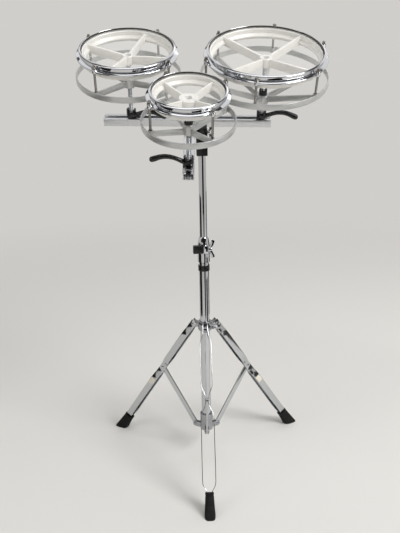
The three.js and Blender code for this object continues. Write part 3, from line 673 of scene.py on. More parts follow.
class Work:
    """A piece in the making: closed bodies in millimetres, in the frame of the place it is for."""

    RIDGES_PER_PITCH = 3.2
    RIDGE_SUNK = 0.6

    def __init__(self, place: Matrix | None = None) -> None:
        """Start with no bodies, and with the matrix from this frame's millimetres to the row's metres."""
        self.place = place or Matrix.Identity(4)
        self.bodies = bmesh.new()

    def take(self, part: bmesh.types.BMesh, move: Matrix) -> Work:
        """Add a finished body, moved into place, and free it."""
        return self.take_mesh(meshed(part, "part"), move)

    def take_mesh(self, mesh: bpy.types.Mesh, move: Matrix = Axis.Z.value) -> Work:
        """Add a mesh's bodies and remove the mesh.

        Args:
            mesh: the bodies.
            move: where they go.

        Returns:
            This piece.
        """
        mesh.transform(move)
        self.bodies.from_mesh(mesh)
        bpy.data.meshes.remove(mesh)
        return self

    def join(self, other: Work, move: Matrix = Axis.Z.value) -> Work:
        """Add another piece's bodies, moved into place."""
        return self.take_mesh(other.mesh("joined"), move)

    def lathe(self, profile: Sequence[Point], segments: int = TUBE_SIDES,
              move: Matrix = Axis.Z.value) -> Work:
        """Turn a closed profile about Z.

        Args:
            profile: radius and height of each point; two on the axis close the body there.
            segments: faces round the axis.
            move: where the body goes.

        Returns:
            This piece.
        """
        part = bmesh.new()
        rings = []
        for radius, height in profile:
            sides = 1 if abs(radius) < ON_AXIS else segments
            rings.append([part.verts.new((x, y, height)) for x, y in polygon(sides, radius)])
        for here, after in zip(rings, rings[1:] + rings[:1]):
            if len(here) == len(after) == 1:
                continue
            for k in range(segments):
                ends = (k, (k + 1) % segments)
                corners = [here[ends[0] % len(here)], here[ends[1] % len(here)],
                           after[ends[1] % len(after)], after[ends[0] % len(after)]]
                part.faces.new(list(dict.fromkeys(corners)))
        return self.take(part, move)

    def rod(self, radius: float, low: float, high: float, edge: float = 0.4, segments: int = PIN_SIDES,
            move: Matrix = Axis.Z.value) -> Work:
        """Add a round bar along Z with rounded edges."""
        outline = [(0, low), (radius, low), (radius, high), (0, high)]
        return self.lathe(rounded(outline, edge), segments, move)

    def drill(self, radius: float, low: float, high: float, move: Matrix = Axis.Z.value,
              segments: int = HOLE_SIDES) -> Work:
        """Add the cutter of a hole along Z, with running clearance round what goes through it."""
        return self.rod(radius + FIT, low, high, 0, segments, move)

    def tube(self, inner: float, outer: float, low: float, high: float, edge: float = 0.4,
             segments: int = TUBE_SIDES, move: Matrix = Axis.Z.value) -> Work:
        """Add a tube along Z with rounded edges."""
        outline = [(inner, low), (outer, low), (outer, high), (inner, high)]
        return self.lathe(rounded(outline, edge), segments, move)

    def prism(self, outline: Sequence[Point], thickness: float, edge: float = 0.5,
              move: Matrix = Axis.Z.value) -> Work:
        """Raise a flat outline to a plate centred on its plane, with softened edges.

        Args:
            outline: corners in order.
            thickness: the plate's thickness.
            edge: width of the bevel on its corners; 0 leaves them sharp.
            move: where the plate goes.

        Returns:
            This piece.
        """
        part = bmesh.new()
        lower = [part.verts.new((x, y, -thickness / 2)) for x, y in outline]
        upper = [part.verts.new((x, y, thickness / 2)) for x, y in outline]
        part.faces.new(lower[::-1])
        part.faces.new(upper)
        for k, here in enumerate(lower):
            after = (k + 1) % len(lower)
            part.faces.new((here, lower[after], upper[after], upper[k]))
        bmesh.ops.recalc_face_normals(part, faces=part.faces)
        self._soften(part, edge)
        return self.take(part, move)

    @staticmethod
    def _soften(part: bmesh.types.BMesh, edge: float) -> None:
        """Bevel the sharp edges of a body.

        Args:
            part: the body.
            edge: width of the bevel; 0 leaves it as it is.
        """
        if edge <= 0:
            return
        sharp = [e for e in part.edges
                 if len(e.link_faces) == 2 and e.calc_face_angle() > math.radians(BEVEL_FROM)]
        bmesh.ops.bevel(part, geom=sharp, offset=edge, segments=2, profile=0.5, affect="EDGES",
                        clamp_overlap=True)

    def block(self, low: Sequence[float], high: Sequence[float], edge: float = 0.5,
              move: Matrix = Axis.Z.value) -> Work:
        """Add a block between two corners, with softened edges."""
        outline = [(low[0], low[1]), (high[0], low[1]), (high[0], high[1]), (low[0], high[1])]
        return self.prism(outline, high[2] - low[2], edge, move @ at(z=(low[2] + high[2]) / 2))

    def loft(self, rings: Sequence[Sequence[Vector]], move: Matrix = Axis.Z.value) -> Work:
        """Skin a row of rings and close both ends.

        Args:
            rings: the rings, in order, each with the same number of corners.
            move: where the body goes.

        Returns:
            This piece.
        """
        part = bmesh.new()
        rows = [[part.verts.new(corner) for corner in ring] for ring in rings]
        for here, after in zip(rows, rows[1:]):
            for k in range(len(here)):
                j = (k + 1) % len(here)
                part.faces.new((here[k], here[j], after[j], after[k]))
        part.faces.new(rows[0][::-1])
        part.faces.new(rows[-1])
        return self.take(part, move)

    def sweep(self, path: Sequence[Vector], section: Sequence[Point], normal: Vector,
              scales: Sequence[float] | None = None) -> Work:
        """Carry a section along a flat path and close both ends.

        Args:
            path: the points of the path.
            section: its first value lies in the path's plane, the second along the normal.
            normal: the normal of the path's plane.
            scales: size of the section at each point.

        Returns:
            This piece.
        """
        rings = []
        for k, centre in enumerate(path):
            along = (path[min(k + 1, len(path) - 1)] - path[max(k - 1, 0)]).normalized()
            across = normal.cross(along).normalized()
            scale = scales[k] if scales else 1
            rings.append([centre + scale * (across * a + normal * b) for a, b in section])
        return self.loft(rings)

    def circle(self, part: Work, count: int, radius: float, first: float, finish: Finish) -> Work:
        """Set copies of a part on a circle about Z, clockwise, with the circle tree.

        Args:
            part: one copy, made as if it stood on the axis, facing +X.
            count: how many.
            radius: of the circle.
            first: angle of the first copy from +X, in degrees.
            finish: what the copies wear.

        Returns:
            This piece.
        """
        model = linked("model", part.mesh("model"))
        mesh = baked(circle_tree(), {"Part": model, "Count": count, "Radius": radius,
                                     "First angle": math.radians(first), "Finish": finish.material()})
        bpy.data.objects.remove(model)
        return self.take_mesh(mesh)

    def thread(self, radius: float, low: float, high: float, pitch: float, finish: Finish) -> Work:
        """Wind a thread's ridge on a bar, with the thread tree.

        Args:
            radius: of the bar.
            low: where the thread starts on Z.
            high: where it ends.
            pitch: from one turn to the next.
            finish: what the ridge wears.

        Returns:
            This piece.
        """
        ridge = pitch / self.RIDGES_PER_PITCH
        mesh = baked(thread_tree(), {"Radius": radius - self.RIDGE_SUNK * ridge, "Pitch": pitch,
                                     "Length": high - low, "Ridge": ridge, "Finish": finish.material()})
        return self.take_mesh(mesh, at(z=low))

    def cut(self, cutter: Work, edge: float = 0) -> Work:
        """Cut another piece's bodies out of this one's.

        Args:
            cutter: the bodies to take away.
            edge: width of the bevel on the corners that this leaves.

        Returns:
            This piece.
        """
        kept, away = linked("kept", self.mesh("kept")), linked("away", cutter.mesh("away"))
        modifier = kept.modifiers.new("cut", "BOOLEAN")
        modifier.operation = "DIFFERENCE"
        modifier.solver = "EXACT"
        modifier.use_self = True
        modifier.object = away
        mesh = evaluated(kept)
        bpy.data.objects.remove(away)
        self.bodies.clear()
        self.take_mesh(mesh)
        bmesh.ops.remove_doubles(self.bodies, verts=self.bodies.verts, dist=MERGE)
        self._soften(self.bodies, edge)
        return self

    def mesh(self, name: str) -> bpy.types.Mesh:
        """Copy all the bodies so far to a mesh, with its faces pointing outwards.

        Args:
            name: the mesh's name.

        Returns:
            The mesh.
        """
        bmesh.ops.recalc_face_normals(self.bodies, faces=self.bodies.faces)
        made = bpy.data.meshes.new(name)
        self.bodies.to_mesh(made)
        return made

    def piece(self, name: str, finish: Finish, body: str, nodes: Sequence[str] = ()) -> bpy.types.Object:
        """Finish the piece: its mesh goes to its place, wears its finish and rides on its body.

        Args:
            name: the piece's name.
            finish: what it wears.
            body: the body that it moves with.
            nodes: the solids that it stands for.

        Returns:
            The object, at the origin.
        """
        mesh = self.mesh(name)
        self.bodies.free()
        mesh.transform(self.place)
        mesh.materials.clear()
        mesh.materials.append(finish.material())
        mesh.polygons.foreach_set("material_index", [0] * len(mesh.polygons))
        mesh.shade_smooth()
        mesh.set_sharp_from_angle(angle=math.radians(SHARP_FROM))
        made = linked(name, mesh)
        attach(made, body)
        if nodes:
            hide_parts(*nodes)
        LOG.info("%s: %d faces on %s", name, len(mesh.polygons), body)
        return made


# The frame's places


class Frame:
    """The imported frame: its joints, and places made from them."""

    def __init__(self, data: dict) -> None:
        self.joints = {joint["name"]: joint for joint in data["joints"]}
        self.mounts = {mount["name"]: mount for mount in data["record"]["mounts"]}

    def origin(self, joint: str) -> Vector:
        """Return the point that a hinge turns about."""
        return Vector(self.joints[joint]["pos_m"])

    def axis(self, joint: str) -> Vector:
        """Return a joint's axis."""
        return Vector(self.joints[joint]["axis"]).normalized()

    @staticmethod
    def place(origin: Vector, x_axis: Vector, z_axis: Vector) -> Matrix:
        """Return the matrix from a local frame in millimetres to the row's frame in metres.

        Args:
            origin: the local origin, in metres.
            x_axis: the way of local X, made square to Z.
            z_axis: the way of local Z.

        Returns:
            The matrix.
        """
        z = z_axis.normalized()
        x = (x_axis - x_axis.dot(z) * z).normalized()
        turn = Matrix((x, z.cross(x), z)).transposed().to_4x4()
        return Matrix.Translation(origin) @ turn @ Matrix.Scale(MM, 4)

    def rails(self, joint: str) -> Matrix:
        """Return the place with X along the cross rail and Z square to it, at a hinge's point."""
        return self.place(self.origin(joint), self.axis("clamp_right_slide"), self.axis("rail_swivel"))

    def upright(self, joint: str) -> Matrix:
        """Return the upright place on the mast's axis, with its floor at zero."""
        point = self.origin(joint)
        return self.place(Vector((point.x, point.y, 0)), Vector((1, 0, 0)), Vector((0, 0, 1)))


# The drums


@dataclass
class Drum:
    """A tunable drum on its shaft, its heights measured up from the rail, its angles in degrees."""

    name: str
    place: Matrix
    heading: float
    head_radius: float
    hoop_top: float
    ring_top: float
    ring_radius: float
    bolt_radius: float
    hub_centre: float
    arm_centre: float
    hub_radius: float
    hub_height: float
    bush_height: float
    upper_hub_radius: float
    spoke_thickness: float
    first_bolt: float
    bolts: int
    first_spoke: float
    on_arm: bool = False
    hoop_above_head: float = 5
    film_thickness: float = 0.3
    film_fold: float = 3.2
    rim_height: float = 25
    rim_wall: float = 4
    lip_drop: float = 16
    lip_width: float = 6
    lip_height: float = 3.4
    lip_fillet: float = 5
    spoke_count: int = 4
    spoke_rim_drop: float = 4.5
    upper_hub_drop: float = 19
    upper_hub_height: float = 21
    recess_radius: float = 7.2
    recess_depth: float = 5
    flesh_width: float = 5.1
    flesh_height: float = 5
    flesh_drop: float = 7
    hoop_depth: float = 17
    flange_width: float = 12
    ear_radius: float = 5.4
    ear_height: float = 9
    rod_radius: float = 3
    rod_core: float = 2.6
    rod_thread: float = 26
    washer_radius: float = 5.2
    rod_head_radius: float = 4.1
    rod_head_height: float = 5.4
    ring_height: float = 14
    ring_wall: float = 3.4
    arm_thickness: float = 4.6
    arm_height: float = 15
    lug_radius: float = 5.2
    sleeve_radius: float = 6.8
    crown_radius: float = 9.2
    crown_teeth: int = 6
    first_tooth: float = 15
    tooth_height: float = 3.2
    shaft_radius: float = 4.75
    shaft_core: float = 4
    shoulder_radius: float = 7.4
    thread_pitch: float = 2.5
    plate_half: Point = (10, 9.8)
    plate_top: float = -2.3
    plate_foot: float = -6.3
    nut_radius: float = 11.2
    nut_top: float = 20.8
    nut_slot_half: float = 6.2
    nut_slot_floor: float = 12.8
    handle: tuple[tuple[float, float, float], ...] = (
        (9.2, 7.0, 6.2), (16, 9.8, 5.4), (27, 15.2, 5.0), (40, 19.4, 5.2), (53, 20.5, 5.5),
        (65, 18.4, 5.9), (75, 14.8, 6.5), (81.5, 12.8, 6.2), (85, 12.0, 4.4), (86.4, 11.7, 1.2))

    @property
    def edge(self) -> float:
        """Height of the bearing edge that the film lies on."""
        return self.hoop_top - self.hoop_above_head

    @property
    def bolt_angle(self) -> float:
        """Angle of the first bolt from +X, in degrees."""
        return 90 - self.first_bolt

    def film(self) -> None:
        """Make the film with its collar folded down over the bearing edge."""
        collar = self.head_radius + FIT
        low = self.edge - self.flesh_drop - self.flesh_height / 2
        under_top = self.edge + FIT
        top = under_top + self.film_thickness
        fold = self.film_fold
        under = arc((collar - fold, under_top - fold), fold, 90, 0, 6)
        over = arc((collar - fold, top - fold), fold + self.film_thickness, 0, 90, 6)
        profile = [(0, under_top), *under, (collar, low), (collar + self.film_thickness, low),
                   *over, (0, top)]
        Work(self.place).lathe(profile, FILM_SIDES).piece(
            f"film_{self.name}", FILM, f"drum_{self.name}", [f"drumhead_{self.name}"])

    def flesh_hoop(self) -> None:
        """Make the rolled hoop that the film's collar is crimped in."""
        top = self.edge - self.flesh_drop
        inner = self.head_radius + FIT + self.film_thickness
        outer = self.head_radius + FIT + self.flesh_width
        Work(self.place).tube(inner, outer, top - self.flesh_height, top, 1.4, FILM_SIDES).piece(
            f"flesh_hoop_{self.name}", FLESH_HOOP, f"drum_{self.name}")

    def counterhoop(self) -> None:
        """Make the plated hoop: a roll with a sloping top, a wall, a sloping flange, and the ears."""
        top = self.hoop_top
        inner = self.head_radius + 2 * FIT + self.film_thickness
        skirt = self.head_radius + self.flesh_width + 2 * FIT
        seat = self.edge - self.flesh_drop + FIT
        bottom = top - self.hoop_depth
        flange = self.head_radius + self.flange_width
        crown, roll, wall, lip, slope = 0.9, 1.2, 2.4, 1.2, 65
        wall_foot, ramp_foot = top - 9.8, top - 13.1
        profile = [
            (inner, seat),
            *arc((inner + crown, top - crown), crown, 180, slope, 5),
            *arc((inner + wall + 1, top - 2 * roll), roll, slope, -80, 8),
            *rounded([(inner + wall, top - 4), (inner + wall, wall_foot),
                      (inner + wall + 0.8, wall_foot - 0.4), (flange - 0.7, ramp_foot)], 0.8, 3, False),
            *arc((flange - lip, ramp_foot - 1.1), lip, slope, 0, 4),
            *arc((flange - lip, bottom + lip), lip, 0, -90, 4),
            (skirt + 0.6, bottom), (skirt, bottom + 0.6), (skirt, seat),
        ]
        hoop = Work(self.place).lathe(profile, HOOP_SIDES)
        ear = Work().tube(self.rod_radius + FIT, self.ear_radius, bottom, bottom + self.ear_height, 1.1,
                          PIN_SIDES)
        root, side, rod = skirt + 1 - self.bolt_radius, self.ear_radius - 0.8, self.rod_radius
        web = [(root, -4.2), (-rod, -side), (-rod - FIT, 0), (-rod, side), (root, 4.2)]
        ear.prism(web, self.ear_height - 2, 0.8, at(z=bottom + self.ear_height / 2 - 0.5))
        hoop.circle(ear, self.bolts, self.bolt_radius, self.bolt_angle, CHROME)
        hoop.piece(f"hoop_{self.name}", CHROME, f"cage_{self.name}", [f"counterhoop_{self.name}"])
        # Painted shade: a thin dark band on the hoop's inner wall, above the film
        inside = Work(self.place).tube(inner - FIT / 2, inner + 0.5, self.edge + 0.9, top - 0.6, 0.1,
                                       HOOP_SIDES)
        inside.piece(f"hoop_inside_{self.name}", HOOP_PAINTED_SHADE, f"cage_{self.name}")

    def rods(self) -> None:
        """Make the tension rods with their washers and square heads."""
        seat = self.hoop_top - self.hoop_depth + self.ear_height + FIT
        foot = self.ring_top - self.ring_height
        neck = seat + 2.2
        rod = Work().lathe(rounded([
            (0, foot), (self.rod_core, foot), (self.rod_core, seat - 1), (self.washer_radius, seat),
            (self.washer_radius, seat + 1.2), (self.rod_head_radius, neck), (0, neck)], 0.5), PIN_SIDES)
        rod.thread(self.rod_core, foot + 0.6, foot + self.rod_thread, 1.0, ROD_PLATE_WITH_PAINTED_SHADE)
        head = rounded(polygon(4, self.rod_head_radius), 0.9)
        rod.prism(head, self.rod_head_height, 0.5, at(z=neck + 2.4))
        nodes = [f"rod_{self.name}_{k + 1}" for k in range(self.bolts)]
        # The rods, their threads and heads wear plate darkened with painted shade
        Work(self.place).circle(rod, self.bolts, self.bolt_radius, self.bolt_angle, ROD_PLATE_WITH_PAINTED_SHADE).piece(
            f"rods_{self.name}", ROD_PLATE_WITH_PAINTED_SHADE, f"cage_{self.name}", nodes)

    def upper_frame(self) -> None:
        """Make the upper casting: tapered rim with its lip, webbed spokes and drilled hub."""
        foot = self.edge - self.rim_height
        outer = self.head_radius
        inner = outer - self.rim_wall
        lip, lip_top = inner - self.lip_width, self.edge - self.lip_drop
        casting = Work(self.place).lathe(rounded([
            (outer - 1.9, self.edge), (outer - 0.3, self.edge - 1.5), (outer, foot), (inner, foot),
            (inner, lip_top - self.lip_height), (lip, lip_top - self.lip_height), (lip, lip_top),
            (inner, lip_top + self.lip_fillet), (inner, self.edge - 2.4)], 0.9), HOOP_SIDES)
        hub_top = self.hoop_top - self.upper_hub_drop
        hub_foot = hub_top - self.upper_hub_height
        recess_foot = hub_top - self.recess_depth
        bore, radius, recess = self.shaft_radius + FIT, self.upper_hub_radius, self.recess_radius
        casting.lathe(rounded([
            (bore, hub_foot), (radius - 1, hub_foot), (radius, hub_top - 1.6), (radius - 1, hub_top),
            (recess + 0.6, hub_top), (recess, hub_top - 0.8), (recess, recess_foot), (bore, recess_foot)],
            0.7), HUB_SIDES)
        spoke_top = self.edge - self.spoke_rim_drop
        web = [(bore + 2 - inner, hub_foot + 0.6), (0.8, foot + 0.4), (0.8, spoke_top),
               (bore + 3 - inner, hub_top - 0.9)]
        spoke = Work().prism(web, self.spoke_thickness, 1.0, Axis.UPRIGHT.value)
        half = self.spoke_thickness / 2
        gusset = [(0.8, -half - 3), (0.8, half + 3), (-4, half - 0.2), (-4, 0.2 - half)]
        spoke.prism(gusset, spoke_top - foot - 3, 0.8, at(z=(foot + spoke_top) / 2))
        casting.circle(spoke, self.spoke_count, inner, 90 - self.first_spoke, UPPER_LACQUER)
        casting.piece(f"upper_casting_{self.name}", UPPER_LACQUER, f"drum_{self.name}",
                      [f"upper_frame_{self.name}"])

    def lower_frame(self) -> None:
        """Make the lower casting: flat ring, an arm and a lug for each rod, and the hub."""
        foot, top = self.ring_top - self.ring_height, self.ring_top
        inner = self.ring_radius - self.ring_wall
        casting = Work(self.place).lathe(rounded([
            (inner + 0.5, foot), (self.ring_radius - 0.6, foot), (self.ring_radius - FIT, top),
            (inner, top)], 1.0), HOOP_SIDES)
        hub_foot = self.hub_centre - self.hub_height / 2
        hub_top = hub_foot + self.hub_height
        bore, radius = self.sleeve_radius + FIT, self.hub_radius
        casting.lathe(rounded([
            (bore, hub_foot), (radius - 1.4, hub_foot), (radius, hub_foot + 3), (radius, hub_top - 2),
            (radius - 1.2, hub_top), (bore, hub_top)], 0.9), HUB_SIDES)
        half, root = self.arm_height / 2, bore + 1 - inner
        web = [(root, self.arm_centre - half), (0.8, foot + 0.6), (0.8, top - 1.2),
               (root, self.arm_centre + half)]
        arm = Work().prism(web, self.arm_thickness, 1.0, Axis.UPRIGHT.value)
        arm.tube(self.rod_radius + FIT, self.lug_radius, foot + FIT, top - FIT, 0.8, PIN_SIDES,
                 at(x=self.bolt_radius - inner))
        casting.circle(arm, self.bolts, inner, self.bolt_angle, LOWER_LACQUER)
        casting.piece(f"lower_casting_{self.name}", LOWER_LACQUER, f"cage_{self.name}",
                      [f"lower_frame_{self.name}"])

    def bush(self) -> None:
        """Make the threaded nylon bush, with a crown of teeth above the hub."""
        hub_foot = self.hub_centre - self.hub_height / 2
        flange = hub_foot + self.hub_height + FIT
        top = flange + self.bush_height
        bore = self.shaft_radius + FIT
        gums = top - min(self.tooth_height, self.bush_height / 2)
        bush = Work(self.place).lathe(rounded([
            (bore, hub_foot), (self.sleeve_radius, hub_foot), (self.sleeve_radius, flange),
            (self.crown_radius, flange), (self.crown_radius, gums), (bore, gums)], 0.4), NUT_SIDES)
        inner, outer, half = -1.9, 1.3, 2.1
        tooth = Work().block((inner, -half, gums - 0.5), (outer, half, top), 0.5)
        bush.circle(tooth, self.crown_teeth, self.crown_radius - 1.4, self.first_tooth, NYLON)
        bush.piece(f"bush_{self.name}", NYLON, f"cage_{self.name}", [f"thread_bush_{self.name}"])

    def shaft(self) -> None:
        """Make the threaded shaft with its shoulder, and the plate under the rail's lips."""
        hub_top = self.hoop_top - self.upper_hub_drop
        shoulder = hub_top - self.upper_hub_height - FIT
        radius, core = self.shaft_radius, self.shaft_core
        shaft = Work(self.place).lathe(rounded([
            (0, -3), (radius, -3), (radius, 4), (core, 5), (core, shoulder - 5),
            (self.shoulder_radius, shoulder - 3.4), (self.shoulder_radius, shoulder), (radius, shoulder),
            (radius, hub_top - 4), (0, hub_top - 4)], 0.5), SHAFT_SIDES)
        shaft.thread(radius - 0.1, 5, shoulder - 4, self.thread_pitch, ZINC)
        shaft.piece(f"threaded_shaft_{self.name}", ZINC, f"clamp_{self.name}", [f"shaft_{self.name}"])
        along, across = self.plate_half
        turn = at(spin=90 if self.on_arm else 0)
        # The plate wears the black enamel, so that it reads dark under the rail's lips
        plate = Work(self.place).block((-along, -across, self.plate_foot), (along, across, self.plate_top),
                                       0.7, turn)
        plate.piece(f"foot_plate_{self.name}", ENAMEL, f"clamp_{self.name}")

    def lever(self) -> None:
        """Make the clamp nut with its two horns and its curved handle."""
        nut = Work(self.place @ at(spin=self.heading))
        bore, radius, slot = self.shaft_radius + FIT, self.nut_radius, self.nut_slot_half
        nut.lathe(rounded([(bore, FIT), (radius - 2.4, FIT), (radius - 0.8, 3), (radius, 8),
                           (radius, self.nut_top), (bore, self.nut_top)], 0.9), NUT_SIDES)
        nut.cut(Work().block((-slot, -16, self.nut_slot_floor), (slot, 16, 24), 0), 0.7)
        run = flowing(self.handle, 4)
        nut.sweep([Vector((p[0], 0, p[1])) for p in run], polygon(20, 1), Vector((0, 1, 0)),
                  [p[2] for p in run])
        nut.piece(f"clamp_lever_{self.name}", GRIP, f"handle_{self.name}", [f"lever_{self.name}"])

    def build(self) -> None:
        """Make the whole drum."""
        for make in (self.film, self.flesh_hoop, self.counterhoop, self.rods, self.upper_frame,
                     self.lower_frame, self.bush, self.shaft, self.lever):
            make()


# Wing screws


@dataclass
class WingScrew:
    """A screw with two rounded wings, along +X from the face that its boss bears on."""

    reach: float
    boss: float
    boss_length: float
    span: float
    thickness: float
    tip: float
    flare: float
    core: float = 2.65

    def build(self, place: Matrix, name: str, body: str, node: str, start: float) -> None:
        """Make the screw.

        Args:
            place: frame whose X is the screw's axis.
            name: the piece's name.
            body: the body that it rides on.
            node: the solid that it stands for.
            start: where on X the bearing face lies.
        """
        screw = Work(place @ at(x=start))
        screw.rod(self.core, -self.reach, 1, 0.5, PIN_SIDES, Axis.X.value)
        screw.lathe(rounded([(0, FIT), (self.boss, FIT), (self.boss * 0.86, self.boss_length - 1.4),
                             (self.boss * 0.6, self.boss_length), (0, self.boss_length)], 1.0),
                    SHAFT_SIDES, Axis.X.value)
        half = self.span / 2
        wing = [(1.2, 0), (1.6, self.boss * 0.8), (self.flare, half - 1.7 * self.tip),
                *arc((self.flare + self.tip, half - self.tip), self.tip, 190, -30, 12),
                (self.boss_length + 2, self.boss * 1.2), (self.boss_length - 1.5, 0)]
        for side in (0, math.pi):
            turn = Matrix.Rotation(math.pi / 2 + side, 4, "X")
            screw.prism(wing, self.thickness, self.thickness * 0.3, turn)
        screw.piece(name, CHROME, body, [node])


# The rack


@dataclass
class Rack:
    """The slotted rails with their bolt and saddle, and the tongue that tilts them."""

    frame: Frame
    width: float = 26
    height: float = 18
    wall: float = 2
    slot: float = 10.4
    left: float = 232
    right: float = 164
    arm_offset: float = -28.8
    arm_length: float = 221.5
    bolt_radius: float = 3
    bolt_head: Point = (6.4, 5)
    lip_plate: Point = (9.8, 4)
    saddle_length: float = 25
    saddle_wall: float = 3
    saddle_side: float = 11
    stud_radius: float = 4
    stud_nut: Point = (7.4, 6)
    stud_end: float = 7.5
    seat_radius: float = 11.8
    seat_thickness: float = 4
    seat_lift: float = 2.9
    post_radius: float = 12
    tongue_thickness: float = 11

    def section(self) -> list[Point]:
        """Draw the rail's section, its slot up and its top at zero.

        Returns:
            Its corners.
        """
        half, lip = self.width / 2, self.slot / 2
        inner = half - self.wall
        return mirrored([(half, -self.height), (half, 0), (lip, 0), (lip, -self.wall), (inner, -self.wall),
                         (inner, self.wall - self.height)])

    def rail(self, start: float, stop: float, move: Matrix = Axis.Z.value) -> Work:
        """Start a rail along X from one end to the other."""
        along = move @ at(x=(start + stop) / 2) @ Axis.ALONG.value
        return Work(self.frame.rails("rail_swivel")).prism(self.section(), stop - start, 0.35, along)

    def grain(self, spin: float = 0) -> tuple[float, ...]:
        """Return the turn that lays a finish's lines along a rail, itself turned by some degrees."""
        back = self.frame.rails("rail_swivel").to_3x3().normalized().inverted()
        return tuple((Matrix.Rotation(math.radians(spin), 3, "Z") @ back).to_euler())

    def rails(self) -> None:
        """Make the cross rail, drilled for the stud and the bolt, and the arm below it."""
        cross = DrawnAluminium("Satin anodised cross rail", "zinc_plate", "cdced0", 0.95, 0.26,
                               self.grain())
        low, high = -self.height - 4, 4 - self.height
        holes = Work().drill(self.stud_radius, low, high)
        holes.drill(self.bolt_radius, low, high, at(x=self.arm_offset))
        rail = self.rail(-self.left, self.right).cut(holes)
        rail.piece("slotted_cross_rail", cross, "rails", ["cross_rail"])
        along = DrawnAluminium("Satin anodised arm rail", "zinc_plate", "d3d4d6", 0.95, 0.24,
                               self.grain(90))
        start, turn = -self.width / 2, at(x=self.arm_offset, z=-self.height - FIT, spin=-90)
        arm = self.rail(start, start + self.arm_length, turn)
        arm.piece("slotted_arm_rail", along, "rails", ["arm_rail"])

    def bolt(self) -> None:
        """Make the bolt and the lip plate that join the rails."""
        place = self.frame.rails("rail_swivel") @ at(x=self.arm_offset)
        seat = self.wall - self.height + FIT
        plate_top = -self.height - FIT - self.wall - FIT
        (radius, height), (half, thickness) = self.bolt_head, self.lip_plate
        bolt = Work(place).prism(polygon(6, radius), height, 0.6, at(z=seat + height / 2))
        bolt.rod(self.bolt_radius - 0.1, plate_top - 1, seat + 1, 0, HOLE_SIDES)
        bolt.block((-half, -half, plate_top - thickness), (half, half, plate_top), 0.6)
        bolt.piece("rail_bolt", ZINC, "rails", ["arm_bolt"])

    def saddle(self) -> None:
        """Make the black saddle that the cross rail sits in."""
        inner = self.width / 2 + FIT
        outer = inner + self.saddle_wall
        floor = -self.height - FIT
        edge = floor + self.saddle_side
        outline = mirrored([(outer, floor - self.saddle_wall), (outer, edge), (inner, edge),
                            (inner, floor)])
        saddle = Work(self.frame.rails("rail_swivel"))
        saddle.prism(outline, self.saddle_length, 0.8, Axis.ALONG.value)
        saddle.cut(Work().drill(self.stud_radius, floor - 8, floor + 4))
        saddle.piece("cross_rail_saddle", ENAMEL, "rails", ["rail_saddle"])

    def tongue(self) -> None:
        """Make the tilt tongue with its seat, stud and nut."""
        up = self.frame.axis("rail_swivel")
        place = self.frame.place(self.frame.origin("tilt"), Vector((1, 0, 0)), up)
        radius, (nut_radius, nut_height) = self.post_radius, self.stud_nut
        top = radius + self.seat_lift + self.seat_thickness
        outline = arc((0, 0), radius, 180, 360, 24) + [(radius, top - 1), (-radius, top - 1)]
        tongue = Work(place).prism(outline, self.tongue_thickness, 0.8, Axis.ALONG.value)
        tongue.cut(Work().drill(self.bolt_radius, -9, 9, Axis.X.value))
        tongue.rod(self.seat_radius, top - self.seat_thickness, top, 0.8, NUT_SIDES)
        nut = top + FIT + self.saddle_wall + FIT + self.wall + FIT
        tongue.rod(self.stud_radius - 0.2, top - 1, nut + self.stud_end, 0.5, PIN_SIDES)
        tongue.prism(polygon(6, nut_radius), nut_height, 0.7, at(z=nut + nut_height / 2))
        tongue.piece("tilt_tongue", ENAMEL, "tilt_head", ["tilt_knuckle"])

    def build(self) -> None:
        """Make the whole rack."""
        self.rails()
        self.bolt()
        self.saddle()
        self.tongue()


# The mast


